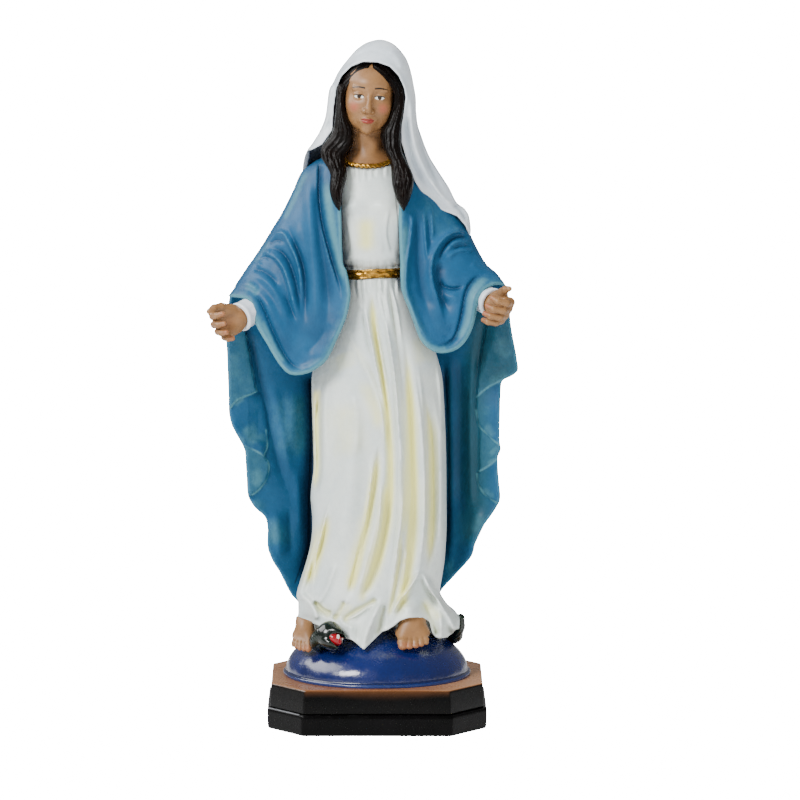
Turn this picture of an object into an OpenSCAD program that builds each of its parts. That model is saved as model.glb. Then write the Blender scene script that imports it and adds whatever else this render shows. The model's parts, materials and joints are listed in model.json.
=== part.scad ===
// Devotional figure of a veiled standing woman on a globe and a stepped plinth,
// as an assembly of separate resin castings joined by spigots and pins.
// Frame: +Z up, the figure faces -Y, +X is to the right of someone facing it.
// The origin is the centre of the resting face. Millimetres.
// "right" and "left" in names are the figure's own right and left.

/* [Plinth] */
// Width of the lower step
plinth_w = 71; // [69:0.5:76]
// Depth of the lower step, front to back
plinth_d = 70; // [68:0.5:76]
// Height of both steps together, above the resting face
plinth_h = 15.2; // [13:0.2:20]
// Height of the lower step
step_h = 7.2; // [5:0.2:9]
// How far the upper step is set in on each side
step_in = 1.2; // [0.6:0.1:2]
// Corner cut, measured along the front
corner_x = 11.5; // [8:0.5:14]
// Corner cut, measured along the side
corner_y = 15; // [8:0.5:17]
// Thickness of the felt pad
felt_t = 1; // [0.6:0.1:2]

/* [Globe] */
// Radius of the globe at its rim
globe_r = 30; // [29:0.1:31.4]
// Rise of the globe above the plinth
globe_h = 16.5; // [14:0.1:16.6]

/* [Figure] */
// Width of the belt band
belt_h = 5.2; // [4:0.1:6.5]
// Thickness of the belt and the neck trim
band_t = 0.8; // [0.5:0.1:1.2]
// Thickness of the mantle's back sheet
mantle_t = 2.2; // [1.6:0.1:3]
// Thickness of the veil
veil_t = 1.6; // [1.2:0.1:2]
// Depth of the skirt's folds at the hem, as a share of its radius
fold_depth = 0.035; // [0:0.005:0.06]
// Radius of the serpent's body
serpent_r = 2.6; // [2:0.1:2.8]

/* [Joints] */
// Radial gap for glue in every spigot and pin hole
glue_gap = 0.08; // [0.02:0.01:0.15]
// Radius of the two pins between globe and skirt
pin_r = 2; // [1.5:0.1:2.5]
// Radius of the neck pin
neck_pin_r = 1.5; // [1:0.1:2]
// Radius of the wrist pins
wrist_pin_r = 0.8; // [0.5:0.05:1]

/* [Hidden] */
rise = plinth_h - 15.2;

// ---------- small helpers ----------
function mix(a, b, t) = a + (b - a) * t;
function sm(t) = let (c = max(0, min(1, t))) c * c * (3 - 2 * c);
function unit(v) = v / max(1e-9, norm(v));
function mean(ps) = [for (k = [0:2]) [for (p = ps) p[k]] * [for (p = ps) 1] / len(ps)];
// column k of a table whose first column is the key
function col(tab, k, x) = lookup(x, [for (r = tab) [r[0], r[k]]]);

// Closed solid through rings of points, bottom to top, with fanned ends
module loft(rings) {
  n = len(rings[0]);
  m = len(rings);
  pts = concat([for (r = rings) for (p = r) p], [mean(rings[0]), mean(rings[m - 1])]);
  polyhedron(pts, concat(
    [for (i = [0:m - 2]) for (j = [0:n - 1])
      let (a = i * n + j, b = i * n + (j + 1) % n, c = b + n, d = a + n)
      each [[a, c, b], [a, d, c]]],
    [for (j = [0:n - 1]) [m * n, j, (j + 1) % n]],
    [for (j = [0:n - 1]) [m * n + 1, (m - 1) * n + (j + 1) % n, (m - 1) * n + j]]));
}

// Closed solid between two grids of points of the same size
module shell(P, Q) {
  ni = len(P);
  nj = len(P[0]);
  n = ni * nj;
  polyhedron(concat([for (r = P) for (p = r) p], [for (r = Q) for (p = r) p]), concat(
    [for (i = [0:ni - 2]) for (j = [0:nj - 2])
      let (a = i * nj + j, b = a + 1, c = b + nj, d = a + nj) each [[a, b, c], [a, c, d]]],
    [for (i = [0:ni - 2]) for (j = [0:nj - 2])
      let (a = n + i * nj + j, b = a + 1, c = b + nj, d = a + nj) each [[a, c, b], [a, d, c]]],
    [for (j = [0:nj - 2]) let (a = j, b = j + 1) each [[a, n + b, b], [a, n + a, n + b]]],
    [for (j = [0:nj - 2]) let (a = (ni - 1) * nj + j, b = a + 1) each [[a, b, n + b], [a, n + b, n + a]]],
    [for (i = [0:ni - 2]) let (a = i * nj, b = a + nj) each [[a, b, n + b], [a, n + b, n + a]]],
    [for (i = [0:ni - 2]) let (a = i * nj + nj - 1, b = a + nj) each [[a, n + b, b], [a, n + a, n + b]]]));
}

// Tube along a path; r gives [half width, half depth] at each point
module sweep(path, r, sides = 10, up = [0, 0, 1]) {
  m = len(path);
  loft([for (i = [0:m - 1])
    let (t = unit(path[min(m - 1, i + 1)] - path[max(0, i - 1)]),
         u = unit(cross(up, t)), v = cross(t, u))
    [for (j = [0:sides - 1]) let (a = 360 * j / sides)
      path[i] + u * r[i][0] * cos(a) + v * r[i][1] * sin(a)]]);
}

// Evenly spaced points on a smooth curve through hand-placed points
function cr(a, b, c, d, t) = 0.5 * (2 * b + (c - a) * t + (2 * a - 5 * b + 4 * c - d) * t * t
                                    + (3 * b - a - 3 * c + d) * t * t * t);
function smooth_path(ps, k) = let (m = len(ps)) concat(
  [for (i = [0:m - 2]) for (j = [0:k - 1])
    cr(ps[max(0, i - 1)], ps[i], ps[i + 1], ps[min(m - 1, i + 2)], j / k)], [ps[m - 1]]);

module octagon(w, d, cx, cy) {
  polygon([[-w / 2 + cx, -d / 2], [w / 2 - cx, -d / 2], [w / 2, -d / 2 + cy], [w / 2, d / 2 - cy],
           [w / 2 - cx, d / 2], [-w / 2 + cx, d / 2], [-w / 2, d / 2 - cy], [-w / 2, -d / 2 + cy]]);
}

// ---------- plinth ----------
module felt_pad() {
  color("darkolivegreen") linear_extrude(felt_t)
    octagon(plinth_w - 5, plinth_d - 5, corner_x - 1.5, corner_y - 1.5);
}

module plinth_base() {
  color([0.08, 0.08, 0.09]) difference() {
    union() {
      translate([0, 0, felt_t / 2]) linear_extrude(0.8)
        octagon(plinth_w - 1.2, plinth_d - 1.2, corner_x, corner_y);
      translate([0, 0, felt_t / 2 + 0.8]) linear_extrude(step_h - felt_t / 2 - 1.2)
        octagon(plinth_w, plinth_d, corner_x, corner_y);
      translate([0, 0, step_h - 0.4]) linear_extrude(0.4)
        octagon(plinth_w - 0.8, plinth_d - 0.8, corner_x, corner_y);
    }
    translate([0, 0, -1]) linear_extrude(felt_t + 1)
      octagon(plinth_w - 4.8, plinth_d - 4.8, corner_x - 1.45, corner_y - 1.45);
    translate([0, 0, step_h - 2.6]) cylinder(r = 14 + glue_gap, h = 5, $fn = 64);
  }
}

module plinth_cap() {
  w = plinth_w - 2 * step_in;
  d = plinth_d - 2 * step_in;
  color([0.5, 0.28, 0.12]) difference() {
    union() {
      translate([0, 0, step_h - 2.5]) cylinder(r = 14, h = 3, $fn = 64);
      translate([0, 0, step_h]) linear_extrude(plinth_h - step_h - 1)
        octagon(w, d, corner_x - 0.4, corner_y - 0.4);
      translate([0, 0, plinth_h - 1]) linear_extrude(1)
        octagon(w - 0.8, d - 0.8, corner_x - 0.4, corner_y - 0.4);
    }
    translate([0, 0, plinth_h - 4.1]) cylinder(r = 12 + glue_gap, h = 5, $fn = 64);
  }
}

// ---------- globe ----------
function dome(x, y) = plinth_h + globe_h * sqrt(max(0, 1 - (x * x + y * y) / (globe_r * globe_r)));

module globe() {
  color([0.07, 0.2, 0.5]) difference() {
    union() {
      translate([0, 0, plinth_h]) rotate_extrude($fn = 96)
        polygon(concat([[0, 0], [globe_r - 0.6, 0], [globe_r, 0.6]],
          [for (i = [1:18]) let (a = 5 * i) [globe_r * cos(a), 0.6 + (globe_h - 0.6) * sin(a)]]));
      translate([0, 0, plinth_h - 4]) cylinder(r = 12, h = 5, $fn = 64);
    }
    for (s = [-1, 1]) translate([9 * s, 2, plinth_h + 5]) cylinder(r = pin_r + glue_gap, h = 30, $fn = 32);
  }
}

module figure_pins() {
  color("silver") for (s = [-1, 1]) translate([9 * s, 2, plinth_h + 5.1]) cylinder(r = pin_r, h = 24, $fn = 32);
}

// ---------- gown ----------
// z, left edge, right edge, front, back
SKIRT = [[29, -27.5, 27.3, -20.5, 15.6], [36, -26.2, 25, -20, 15.4], [45, -24.2, 22.8, -19, 15.2],
         [60, -22.4, 22.5, -18, 15], [75, -21.8, 22.5, -17.5, 14.8], [95, -21, 22, -17, 14.4],
         [115, -19.6, 20.3, -16.5, 13.6], [130, -16.6, 16.2, -15.5, 12.6], [140, -14, 13.2, -14.4, 11.6],
         [148.6, -12.4, 11.4, -13.4, 10.8]];
BODICE = [[148.6, -12.4, 11.4, -13.4, 10.8], [155, -12.8, 11.8, -14.6, 11], [164, -13.8, 12.6, -16, 11.2],
          [172, -14.6, 13.4, -15.4, 11.2], [178, -15, 13.6, -13.6, 10.2], [182.5, -13.4, 10.6, -11.8, 8.4],
          [185.2, -9.6, 3.6, -10.6, 4.4]];

WAIST = [[140, -14, 13.2, -14.4, 11.6], [148.6, -13, 12, -14, 11.2], [155, -13, 12, -14.8, 11.3]];

function ring(tab, z, out = 0, n = 44, f = 0) =
  let (xl = col(tab, 1, z), xr = col(tab, 2, z), yf = col(tab, 3, z), yb = col(tab, 4, z))
  [for (j = [0:n - 1]) let (a = 360 * j / n, g = 1 + f * cos(11 * a + 40) + 0.5 * f * cos(5 * a),
      y = sin(a) < 0 ? -yf : yb)
    [(xl + xr) / 2 + ((xr - xl) / 2 * g + out) * cos(a), (y * g + out) * sin(a), z]];

function skirt_fold(z) = fold_depth * (1 - sm((z - 30) / 110));

module gown_skirt() {
  hem = ring(SKIRT, 29, 0, 44, fold_depth);
  c = mean(hem);
  color([0.93, 0.93, 0.9]) difference() {
    translate([0, 0, rise]) loft(concat(
      [for (k = [0.05, 0.4, 0.7, 0.88])
        [for (p = hem) let (q = mix(c, p, k)) [q[0], q[1], max(24.6, dome(q[0], q[1]) - rise + 0.15)]]],
      [[for (p = hem) [p[0], p[1], 27.6 + 1.2 * cos(6 * atan2(p[1], p[0]))]]],
      [for (z = [31, 34, 38, 44, 50, 58, 66, 75, 85, 95, 105, 115, 123, 131, 139, 144, 148.6])
        ring(SKIRT, z, 0, 44, skirt_fold(z))]));
    for (s = [-1, 1]) translate([9 * s, 2, plinth_h]) cylinder(r = pin_r + glue_gap, h = 29.2, $fn = 32);
    translate([-22.4, -17, 29 + rise]) rotate([20, 0, -12]) scale([1, 1.5, 1]) sphere(6.4, $fn = 24);
    translate([10.8, -18, 29 + rise]) rotate([16, 0, 6]) scale([1, 1.5, 1]) sphere(6.2, $fn = 24);
  }
}

module gown_bodice() {
  color([0.93, 0.93, 0.92]) translate([0, 0, rise]) difference() {
    loft([for (z = [148.8, 152, 156, 160, 164, 168, 172, 175, 178, 180.5, 182.5, 184, 185.2])
      ring(BODICE, z)]);
    translate([-3, -3, 174]) cylinder(r = neck_pin_r + glue_gap, h = 20, $fn = 24);
  }
}

// A band that follows the gown's section between two heights
module band(tab, z0, z1, t, dip = 0) {
  n = 44;
  r0 = ring(tab, z0, 0.1);
  r1 = ring(tab, z1, 0.1);
  r2 = ring(tab, z1, t);
  r3 = ring(tab, z0, t);
  pts = concat(r0, r1, r2, r3);
  polyhedron([for (p = pts) p + [0, 0, dip * p[1] / 10]],
    [for (k = [0:3]) for (j = [0:n - 1])
      let (a = k * n + j, b = k * n + (j + 1) % n, c = ((k + 1) % 4) * n + (j + 1) % n, d = ((k + 1) % 4) * n + j)
      each [[a, b, c], [a, c, d]]]);
}

module belt() {
  color("goldenrod") translate([0, 0, rise]) band(WAIST, 148.7 - belt_h / 2, 148.7 + belt_h / 2, band_t);
}

module neckline_trim() {
  color("goldenrod") translate([0, 0, rise]) band(BODICE, 183.6, 185.1, band_t);
}

// ---------- feet ----------
module foot(side) {
  $fn = 18;
  color([0.78, 0.58, 0.42]) union() {
    hull() {
      translate([0, 7, 3.6]) scale([1, 1.2, 0.9]) sphere(3.4);
      translate([0, -1, 2.4]) scale([1.5, 1, 0.75]) sphere(3);
      translate([-0.5 * side, -4, 1.6]) scale([1.9, 1, 0.6]) sphere(2.4);
    }
    for (k = [0:4]) hull() {
      translate([side * (-3.6 + 1.75 * k), -4.5, 1.5]) sphere(1.25 - 0.12 * k);
      translate([side * (-3.8 + 1.75 * k), -8 + 0.65 * k, 1.1]) sphere(1.2 - 0.13 * k);
    }
  }
}

module foot_right() {
  difference() {
    translate([-22.6, -19, 27.4 + rise]) rotate([20, 0, -12]) foot(1);
    hull() for (p = [[-19.4, -20.6], [-27, -8]])
      translate([p[0], p[1], dome(p[0], p[1]) + 2.9]) sphere(serpent_r + 0.3, $fn = 24);
  }
}

module foot_left() {
  translate([10.8, -20.4, 26.6 + rise]) rotate([16, 0, 6]) foot(-1);
}

// ---------- serpent ----------
// x, y, height of the centre line above the globe
SERPENT = [[-14.4, -26, 7.8], [-17.2, -23.6, 6.6], [-19.6, -20.4, 3.6], [-22.6, -16.2, 2.8], [-26.2, -9.6, 2.8], [-27, 2, 2.8],
           [-23, 13, 2.8], [-13, 20.6, 2.8], [0, 22.8, 2.8], [12, 21.2, 2.8], [21.4, 16.4, 2.8],
           [26.4, 10, 3.4], [28, 4, 8], [28.2, 0, 13]];
module serpent() {
  top = smooth_path([for (p = SERPENT) [p[0], p[1], dome(min(28, max(-28, p[0])), p[1]) + p[2]]], 2);
  m = len(top);
  color([0.08, 0.2, 0.12]) union() {
    sweep(top, [for (i = [0:m - 1]) let (k = i / (m - 1), r = serpent_r * (k < 0.6 ? 1 : mix(1, 0.3, sm((k - 0.6) / 0.4)))) [r, r]], 10);
    difference() {
      hull() {
        translate(top[0] + [0.6, -0.6, 0.8]) scale([1.1, 1.1, 0.85]) sphere(3.6, $fn = 20);
        translate(top[0] + [1.6, -3, 0]) sphere(2.2, $fn = 16);
      }
      translate(top[0] + [2.6, -5, -0.2]) rotate([0, 0, -20]) scale([1, 1.1, 0.62]) sphere(2.9, $fn = 20);
    }
  }
}

module serpent_mouth() {
  p = [SERPENT[0][0], SERPENT[0][1], dome(SERPENT[0][0], SERPENT[0][1]) + SERPENT[0][2]];
  color("crimson") translate(p + [2.2, -4.4, -0.2]) rotate([0, 0, -20]) scale([1, 1.1, 0.62]) sphere(1.9, $fn = 20);
}

// ---------- head, hair and veil ----------
HEAD = [-2.4, -3.2, 206];
module head() {
  color([0.8, 0.6, 0.45]) translate([0, 0, rise]) difference() {
    union() {
      translate(HEAD) rotate([3, 4, 0]) {
        scale([0.74, 0.88, 1]) sphere(11.6, $fn = 48);
        hull() {
          translate([0, -9.6, 1.5]) sphere(0.9, $fn = 16);
          translate([0, -11, -3.2]) sphere(1.1, $fn = 16);
          translate([0, -8, -3.6]) sphere(2, $fn = 16);
        }
      }
      translate([-3, -3, 185.4]) cylinder(r1 = 6.6, r2 = 5.3, h = 13, $fn = 40);
    }
    translate([-3, -3, 180]) cylinder(r = neck_pin_r + glue_gap, h = 17, $fn = 24);
  }
}

module neck_pin() {
  color("silver") translate([-3, -3, 174.2 + rise]) cylinder(r = neck_pin_r, h = 22.5, $fn = 24);
}

// Sections of the hair and the veil:
// z, centre x, centre y, half width, half depth, front edge's angle on each side
HAIRCAP = [[190, -2.6, 0.4, 9.2, 9.6, 208, -28], [196, -2.6, 0, 9.9, 10.6, 214, -34], [202, -2.4, -0.6, 10.6, 11.4, 220, -40],
           [208, -2.2, -1, 10.6, 11.6, 230, -50], [212, -2, -1, 9.9, 10.9, 244, -64], [215.5, -1.8, -1, 8.2, 9.2, 262, -82],
           [218, -1.6, -0.8, 5.8, 6.4, 268, -88], [219.6, -1.5, -0.6, 3, 3.4, 268, -88]];
VEIL = [[150, 1.5, 4.6, 32, 15, 175, -6], [158, 1, 4.6, 31, 14.6, 178, -8], [168, 0, 4.4, 28.4, 14, 180, -30],
        [178, -1, 3.8, 22.6, 13.6, 182, -54], [186, -3, 2.6, 20.6, 13.4, 184, -46], [190, -2.2, 2, 17.6, 13.2, 192, -44],
        [194, -1.6, 1.6, 15.6, 13, 199, -42], [199, -1.6, 0.8, 14.8, 13.2, 208, -41], [204, -1.6, 0, 14.2, 13.6, 217, -42],
        [210, -1.4, -0.6, 13.2, 13.4, 234, -56], [215, -0.6, -0.6, 11.2, 12, 252, -72], [218.6, 0, -0.4, 8.8, 9.6, 267, -87],
        [221.5, 0.4, 0, 6, 6.6, 268, -88], [223.4, 0.8, 0.2, 2.6, 3, 268, -88]];
// Height of the veil's hem against the angle round the head
VEIL_HEM = [[-54, 178], [-31, 168], [-12, 160], [8, 156], [50, 152], [90, 151], [130, 153], [160, 163], [182, 184]];
function arc_point(tab, z, k, out) =
  let (a = mix(col(tab, 5, z), col(tab, 6, z), k))
  [col(tab, 1, z) + (col(tab, 3, z) + out) * cos(a), col(tab, 2, z) + (col(tab, 4, z) + out) * sin(a), z];
function veil_z(k, u) = let (h = lookup(mix(184, -50, k), VEIL_HEM)) mix(h, 223.4, pow(u, 0.92));

module wrapped(tab, zs, nt, t) {
  shell([for (z = zs) [for (j = [0:nt]) arc_point(tab, z, j / nt, 0)]],
        [for (z = zs) [for (j = [0:nt]) arc_point(tab, z, j / nt, -t)]]);
}

module hair_cap() {
  color([0.13, 0.08, 0.06]) translate([0, 0, rise])
    wrapped(HAIRCAP, [190, 194, 198, 202, 205, 208, 210, 212, 214, 215.5, 217, 218, 219, 219.6], 22, 1.3);
}

LOCK_R = [[-10.6, -8, 203], [-12.4, -9.4, 197], [-13.6, -11, 191], [-13.4, -14.4, 185], [-13, -17.4, 179],
          [-12.6, -18.6, 173], [-11.4, -18.4, 167.6]];
LOCK_L = [[6.4, -8, 203], [8, -9.2, 197], [8.4, -11, 191], [7.8, -14.6, 185], [8.2, -17.8, 179],
          [8.4, -18.8, 174], [7.8, -18.8, 168.6]];
module lock(ps) {
  path = smooth_path(ps, 3);
  m = len(path);
  sweep(path, [for (i = [0:m - 1]) let (k = i / (m - 1), w = 1.2 + 2.2 * sin(180 * min(1, 0.12 + 0.88 * k)) * (1 - 0.25 * k)) [w * 0.55, w]],
        10, [1, 0, 0]);
}
module hair_lock_right() { color([0.13, 0.08, 0.06]) translate([0, 0, rise]) lock(LOCK_R); }
module hair_lock_left() { color([0.13, 0.08, 0.06]) translate([0, 0, rise]) lock(LOCK_L); }

module veil() {
  us = [0, 0.06, 0.12, 0.19, 0.26, 0.33, 0.4, 0.47, 0.54, 0.61, 0.68, 0.75, 0.81, 0.86, 0.9, 0.94, 0.97, 1];
  nt = 30;
  color([0.94, 0.95, 0.97]) translate([0, 0, rise]) union() {
    shell([for (u = us) [for (j = [0:nt]) arc_point(VEIL, veil_z(j / nt, u), j / nt, 0)]],
          [for (u = us) [for (j = [0:nt]) arc_point(VEIL, veil_z(j / nt, u), j / nt, -veil_t)]]);
    translate([0.8, 0.2, 222.4]) cylinder(r = 2.2, h = 1.6, $fn = 24);
  }
}

// ---------- mantle ----------
// z, left edge x, right edge x, side y, back y
BACK = [[40, -27, 22.5, 7.6, 19], [48, -33, 27.5, 7.4, 19.4], [56, -36.5, 32, 7, 19.6], [66, -38.5, 36.5, 6.6, 19.6],
        [72, -41.5, 39.8, 6.4, 19.4], [82, -43, 39.6, 6.2, 19.2], [92, -45, 40, 6, 19], [101, -49, 40.6, 5.6, 18.6],
        [113, -49.4, 46, 5.2, 18.2], [122, -49.6, 44.5, 4.8, 17.8], [132, -49, 43, 4, 17.4], [140, -46, 41.5, 3.4, 17],
        [148, -42, 38, 3, 16.4], [156, -37, 32.5, 3, 16], [164, -32, 28, 3, 15.6], [172, -28, 24, 3.2, 15.4],
        [180, -24, 20, 3.6, 15], [185, -20, 16, 5, 14]];
function back_y(x, z) =
  let (c = (col(BACK, 1, z) + col(BACK, 2, z)) / 2, w = (col(BACK, 2, z) - col(BACK, 1, z)) / 2)
  mix(col(BACK, 4, z), col(BACK, 3, z), pow(min(1, abs(x - c) / w), 2));
module mantle_back() {
  zs = [40, 44, 48, 52, 56, 61, 66, 72, 78, 84, 90, 96, 102, 108, 113, 118, 124, 130, 136, 142, 148, 154, 160, 166, 172, 178];
  nt = 36;
  P = [for (z = zs) [for (j = [0:nt])
    let (t = -1 + 2 * j / nt, x = mix(col(BACK, 1, z), col(BACK, 2, z), (t + 1) / 2),
         w = (0.25 + 1.1 * (1 - sm((z - 45) / 110))) * (1 - 0.3 * abs(t)))
    [x, back_y(x, z) + 0.9 * w * cos(20 * x + 60) * (abs(t) < 0.97 ? 1 : 0.3), z]]];
  Q = [for (r = P) [for (p = r) p - [0, mantle_t, 0]]];
  color([0.2, 0.45, 0.65]) translate([0, 0, rise]) shell(P, Q);
}

// s, top of the drape x y z, hem x y z
SLEEVE_R = [[0, -9.6, -11.6, 181, -10.4, -15.2, 147], [0.15, -14, -9.4, 184.6, -13, -17.6, 131.6],
            [0.3, -19.4, -6, 183.6, -19, -18.6, 122.6], [0.5, -26.4, -4, 176.6, -28.6, -18, 117.6],
            [0.7, -33.4, -3.4, 163.6, -36.4, -15.6, 121], [0.85, -40.4, -4.4, 152.4, -41.6, -13.2, 130],
            [1, -46.6, -6, 142.8, -44.6, -11, 135.6]];
SLEEVE_L = [[0, 4.6, -11.6, 181, 8.4, -15.2, 147], [0.15, 9, -9.4, 184.2, 10, -17.4, 135],
            [0.3, 14.6, -6, 182.6, 14.4, -18.4, 125], [0.5, 21.4, -4, 175, 21.4, -18, 120],
            [0.7, 28.8, -3.4, 164, 27.6, -16.4, 124], [0.85, 35.4, -5, 153.6, 31, -14.6, 131],
            [1, 41.4, -7.6, 145, 33.4, -12.6, 136]];
module sleeve(tab) {
  ns = 20;
  nt = 14;
  P = [for (i = [0:ns]) let (s = i / ns) [for (j = [0:nt])
    let (t = j / nt, a = [col(tab, 1, s), col(tab, 2, s), col(tab, 3, s)], b = [col(tab, 4, s), col(tab, 5, s), col(tab, 6, s)],
         q = mix(a, b, t), yc = mix(a[1] + 4, 0, t * 0.6), f = sqrt(max(0, 1 - pow(1 - min(1, t / 0.4), 2))))
    [q[0], mix(yc - 1.2, q[1] - 2.2 * sin(180 * t), f), q[2]]]];
  Q = [for (i = [0:ns]) let (s = i / ns) [for (j = [0:nt])
    let (t = j / nt, p = P[i][j], m = back_y(p[0], p[2]) - mantle_t - 1.6, f = sqrt(max(0, 1 - pow(1 - min(1, t / 0.4), 2))))
    [p[0], max(p[1] + 1.6, mix(p[1] + 1.6, mix(m, p[1] + 2.4, sm((t - 0.72) / 0.28)), f)), p[2]]]];
  if (tab[6][1] > 0) shell(Q, P); else shell(P, Q);
}
// The body inside the drapes, cleared with room for glue
module body_space() {
  loft([for (z = [100, 115, 123, 131, 139, 148.5]) ring(SKIRT, z, 1.2, 32)]);
  loft([for (z = [148.4, 156, 164, 172, 178, 182.5, 185.2]) ring(BODICE, z, 1.2, 32)]);
}
module arm_hole(a, b, r) {
  hull() { translate(a) sphere(r, $fn = 20); translate(b) sphere(r, $fn = 20); }
}
module mantle_sleeve_right() {
  color([0.2, 0.45, 0.65]) translate([0, 0, rise]) difference() {
    sleeve(SLEEVE_R);
    body_space();
    arm_hole([-37, -7.5, 139.5], [-52, -14, 136.5], 5);
    arm_hole([-43, -9, 137], [-46, -8, 128], 4.6);
  }
}
module mantle_sleeve_left() {
  color([0.2, 0.45, 0.65]) translate([0, 0, rise]) difference() {
    sleeve(SLEEVE_L);
    body_space();
    arm_hole([29, -7.5, 143], [41, -20, 139], 5);
    arm_hole([35, -12, 140], [38, -10, 130], 4.6);
  }
}

// ---------- cuffs and hands ----------
// Places a piece's -Z axis along the forearm, with its origin at the wrist
module at_wrist_right() { translate([-43.6, -11, 137.2 + rise]) rotate([0, 0, 24]) rotate([0, 75, 0]) children(); }
module at_wrist_left() { translate([35.8, -14, 140.4 + rise]) rotate([0, 0, 134]) rotate([0, 78, 0]) children(); }

module cuff() {
  color([0.93, 0.94, 0.96]) difference() {
    union() {
      cylinder(r1 = 4.5, r2 = 4.2, h = 8, $fn = 36);
      cylinder(r = 4.8, h = 1.6, $fn = 36);
    }
    translate([0, 0, -1]) cylinder(r = 3.6, h = 2.6, $fn = 36);
    translate([0, 0, -1]) cylinder(r = wrist_pin_r + glue_gap, h = 7.2, $fn = 20);
  }
}
module cuff_right() { at_wrist_right() cuff(); }
module cuff_left() { at_wrist_left() cuff(); }
module wrist_pin() { translate([0, 0, -3.6]) cylinder(r = wrist_pin_r, h = 9.6, $fn = 20); }
module wrist_pins() {
  color("silver") { at_wrist_right() wrist_pin(); at_wrist_left() wrist_pin(); }
}

// Hand in its own frame: wrist at the origin, fingers towards -Z, palm to -Y
module finger(a, b, c, r) {
  hull() { translate(a) sphere(r, $fn = 14); translate(b) sphere(r * 0.92, $fn = 14); }
  hull() { translate(b) sphere(r * 0.92, $fn = 14); translate(c) sphere(r * 0.78, $fn = 14); }
}
module hand(m) {
  color([0.8, 0.6, 0.45]) difference() {
    union() {
      hull() {
        translate([0, 0, 1.2]) cylinder(r = 3.1, h = 0.2, $fn = 24);
        translate([-2.2 * m, 0.4, -7.4]) sphere(1.7, $fn = 20);
        translate([2.4 * m, 0.4, -7]) sphere(1.6, $fn = 20);
        translate([0, 0.6, -3]) sphere(3, $fn = 20);
      }
      finger([-2.5 * m, 0, -7.8], [-3 * m, -0.8, -11], [-3.1 * m, -2.4, -13.4], 1.25);
      finger([-0.8 * m, 0.2, -8.2], [-0.9 * m, -0.8, -12], [-0.9 * m, -2.8, -14.6], 1.25);
      finger([0.9 * m, 0.2, -8.1], [1.1 * m, -0.9, -11.6], [1.1 * m, -2.9, -14], 1.2);
      finger([2.6 * m, 0, -7.4], [3.1 * m, -1.1, -10.2], [3.2 * m, -2.8, -12.2], 1.1);
      finger([-2.6 * m, -0.8, -3], [-4.4 * m, -2.6, -5.6], [-4.6 * m, -3.8, -8.4], 1.35);
    }
    translate([0, 0, -3.8]) cylinder(r = wrist_pin_r + glue_gap, h = 8, $fn = 20);
  }
}
module hand_right() { at_wrist_right() rotate([0, 0, 60]) hand(-1); }
module hand_left() { at_wrist_left() rotate([0, 0, -60]) hand(1); }

felt_pad();
plinth_base();
plinth_cap();
globe();
serpent();
serpent_mouth();
gown_skirt();
gown_bodice();
belt();
neckline_trim();
foot_right();
foot_left();
head();
hair_cap();
hair_lock_right();
hair_lock_left();
veil();
mantle_back();
mantle_sleeve_right();
mantle_sleeve_left();
cuff_right();
cuff_left();
hand_right();
hand_left();
figure_pins();
neck_pin();
wrist_pins();
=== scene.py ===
# Painted resin figure on a globe and plinth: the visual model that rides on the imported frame.
import json
import math
import bpy
import numpy as np
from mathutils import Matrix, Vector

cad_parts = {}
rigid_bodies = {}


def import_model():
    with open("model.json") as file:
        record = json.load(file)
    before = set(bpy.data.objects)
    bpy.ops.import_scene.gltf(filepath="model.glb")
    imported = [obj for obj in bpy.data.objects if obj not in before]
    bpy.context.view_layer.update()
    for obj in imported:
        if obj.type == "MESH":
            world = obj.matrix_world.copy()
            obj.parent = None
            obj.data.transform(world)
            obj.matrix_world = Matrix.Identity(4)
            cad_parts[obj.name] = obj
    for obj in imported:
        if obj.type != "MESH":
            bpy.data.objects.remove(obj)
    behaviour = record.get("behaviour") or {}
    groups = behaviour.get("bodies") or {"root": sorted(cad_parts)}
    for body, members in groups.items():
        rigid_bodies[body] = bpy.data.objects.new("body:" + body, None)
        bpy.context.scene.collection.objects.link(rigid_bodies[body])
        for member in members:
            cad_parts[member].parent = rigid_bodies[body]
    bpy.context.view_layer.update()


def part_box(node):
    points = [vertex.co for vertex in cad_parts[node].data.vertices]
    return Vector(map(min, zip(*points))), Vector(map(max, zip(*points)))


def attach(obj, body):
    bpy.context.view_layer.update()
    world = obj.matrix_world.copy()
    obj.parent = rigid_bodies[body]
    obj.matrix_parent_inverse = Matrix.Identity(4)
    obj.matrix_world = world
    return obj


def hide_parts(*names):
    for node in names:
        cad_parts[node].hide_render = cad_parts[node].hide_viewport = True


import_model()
import openvdb as vdb
from mathutils import Matrix, Vector

np.random.seed(4)
OV = 0.001  # millimetres to metres

# ---------------------------------------------------------------- the camera, and the front elevation it gives
CAM = np.array([0.0, -1900.0, 345.0])
PITCH = math.atan((345.0 - 112.0) / 1900.0)
FW = np.array([0.0, math.cos(PITCH), -math.sin(PITCH)])
UP = np.array([0.0, math.sin(PITCH), math.cos(PITCH)])
FOCAL, CU, CV = 5844.7, 377.0, 381.1


def front(x, y, z):
    """Elevation coordinates of points in millimetres: u to the right, v down, about 0.32 mm a unit."""
    d = (y - CAM[1]) * FW[1] + (z - CAM[2]) * FW[2]
    return CU + FOCAL * x / d, CV - FOCAL * ((y - CAM[1]) * UP[1] + (z - CAM[2]) * UP[2]) / d


def back_to(u, v, y):
    """The point in millimetres at depth y that shows at (u, v)."""
    a, b = (np.asarray(u, float) - CU) / FOCAL, (np.asarray(v, float) - CV) / FOCAL
    t = (y - CAM[1]) / (FW[1] - b * UP[1])
    return a * t, CAM[2] + t * (FW[2] - b * UP[2])


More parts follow.
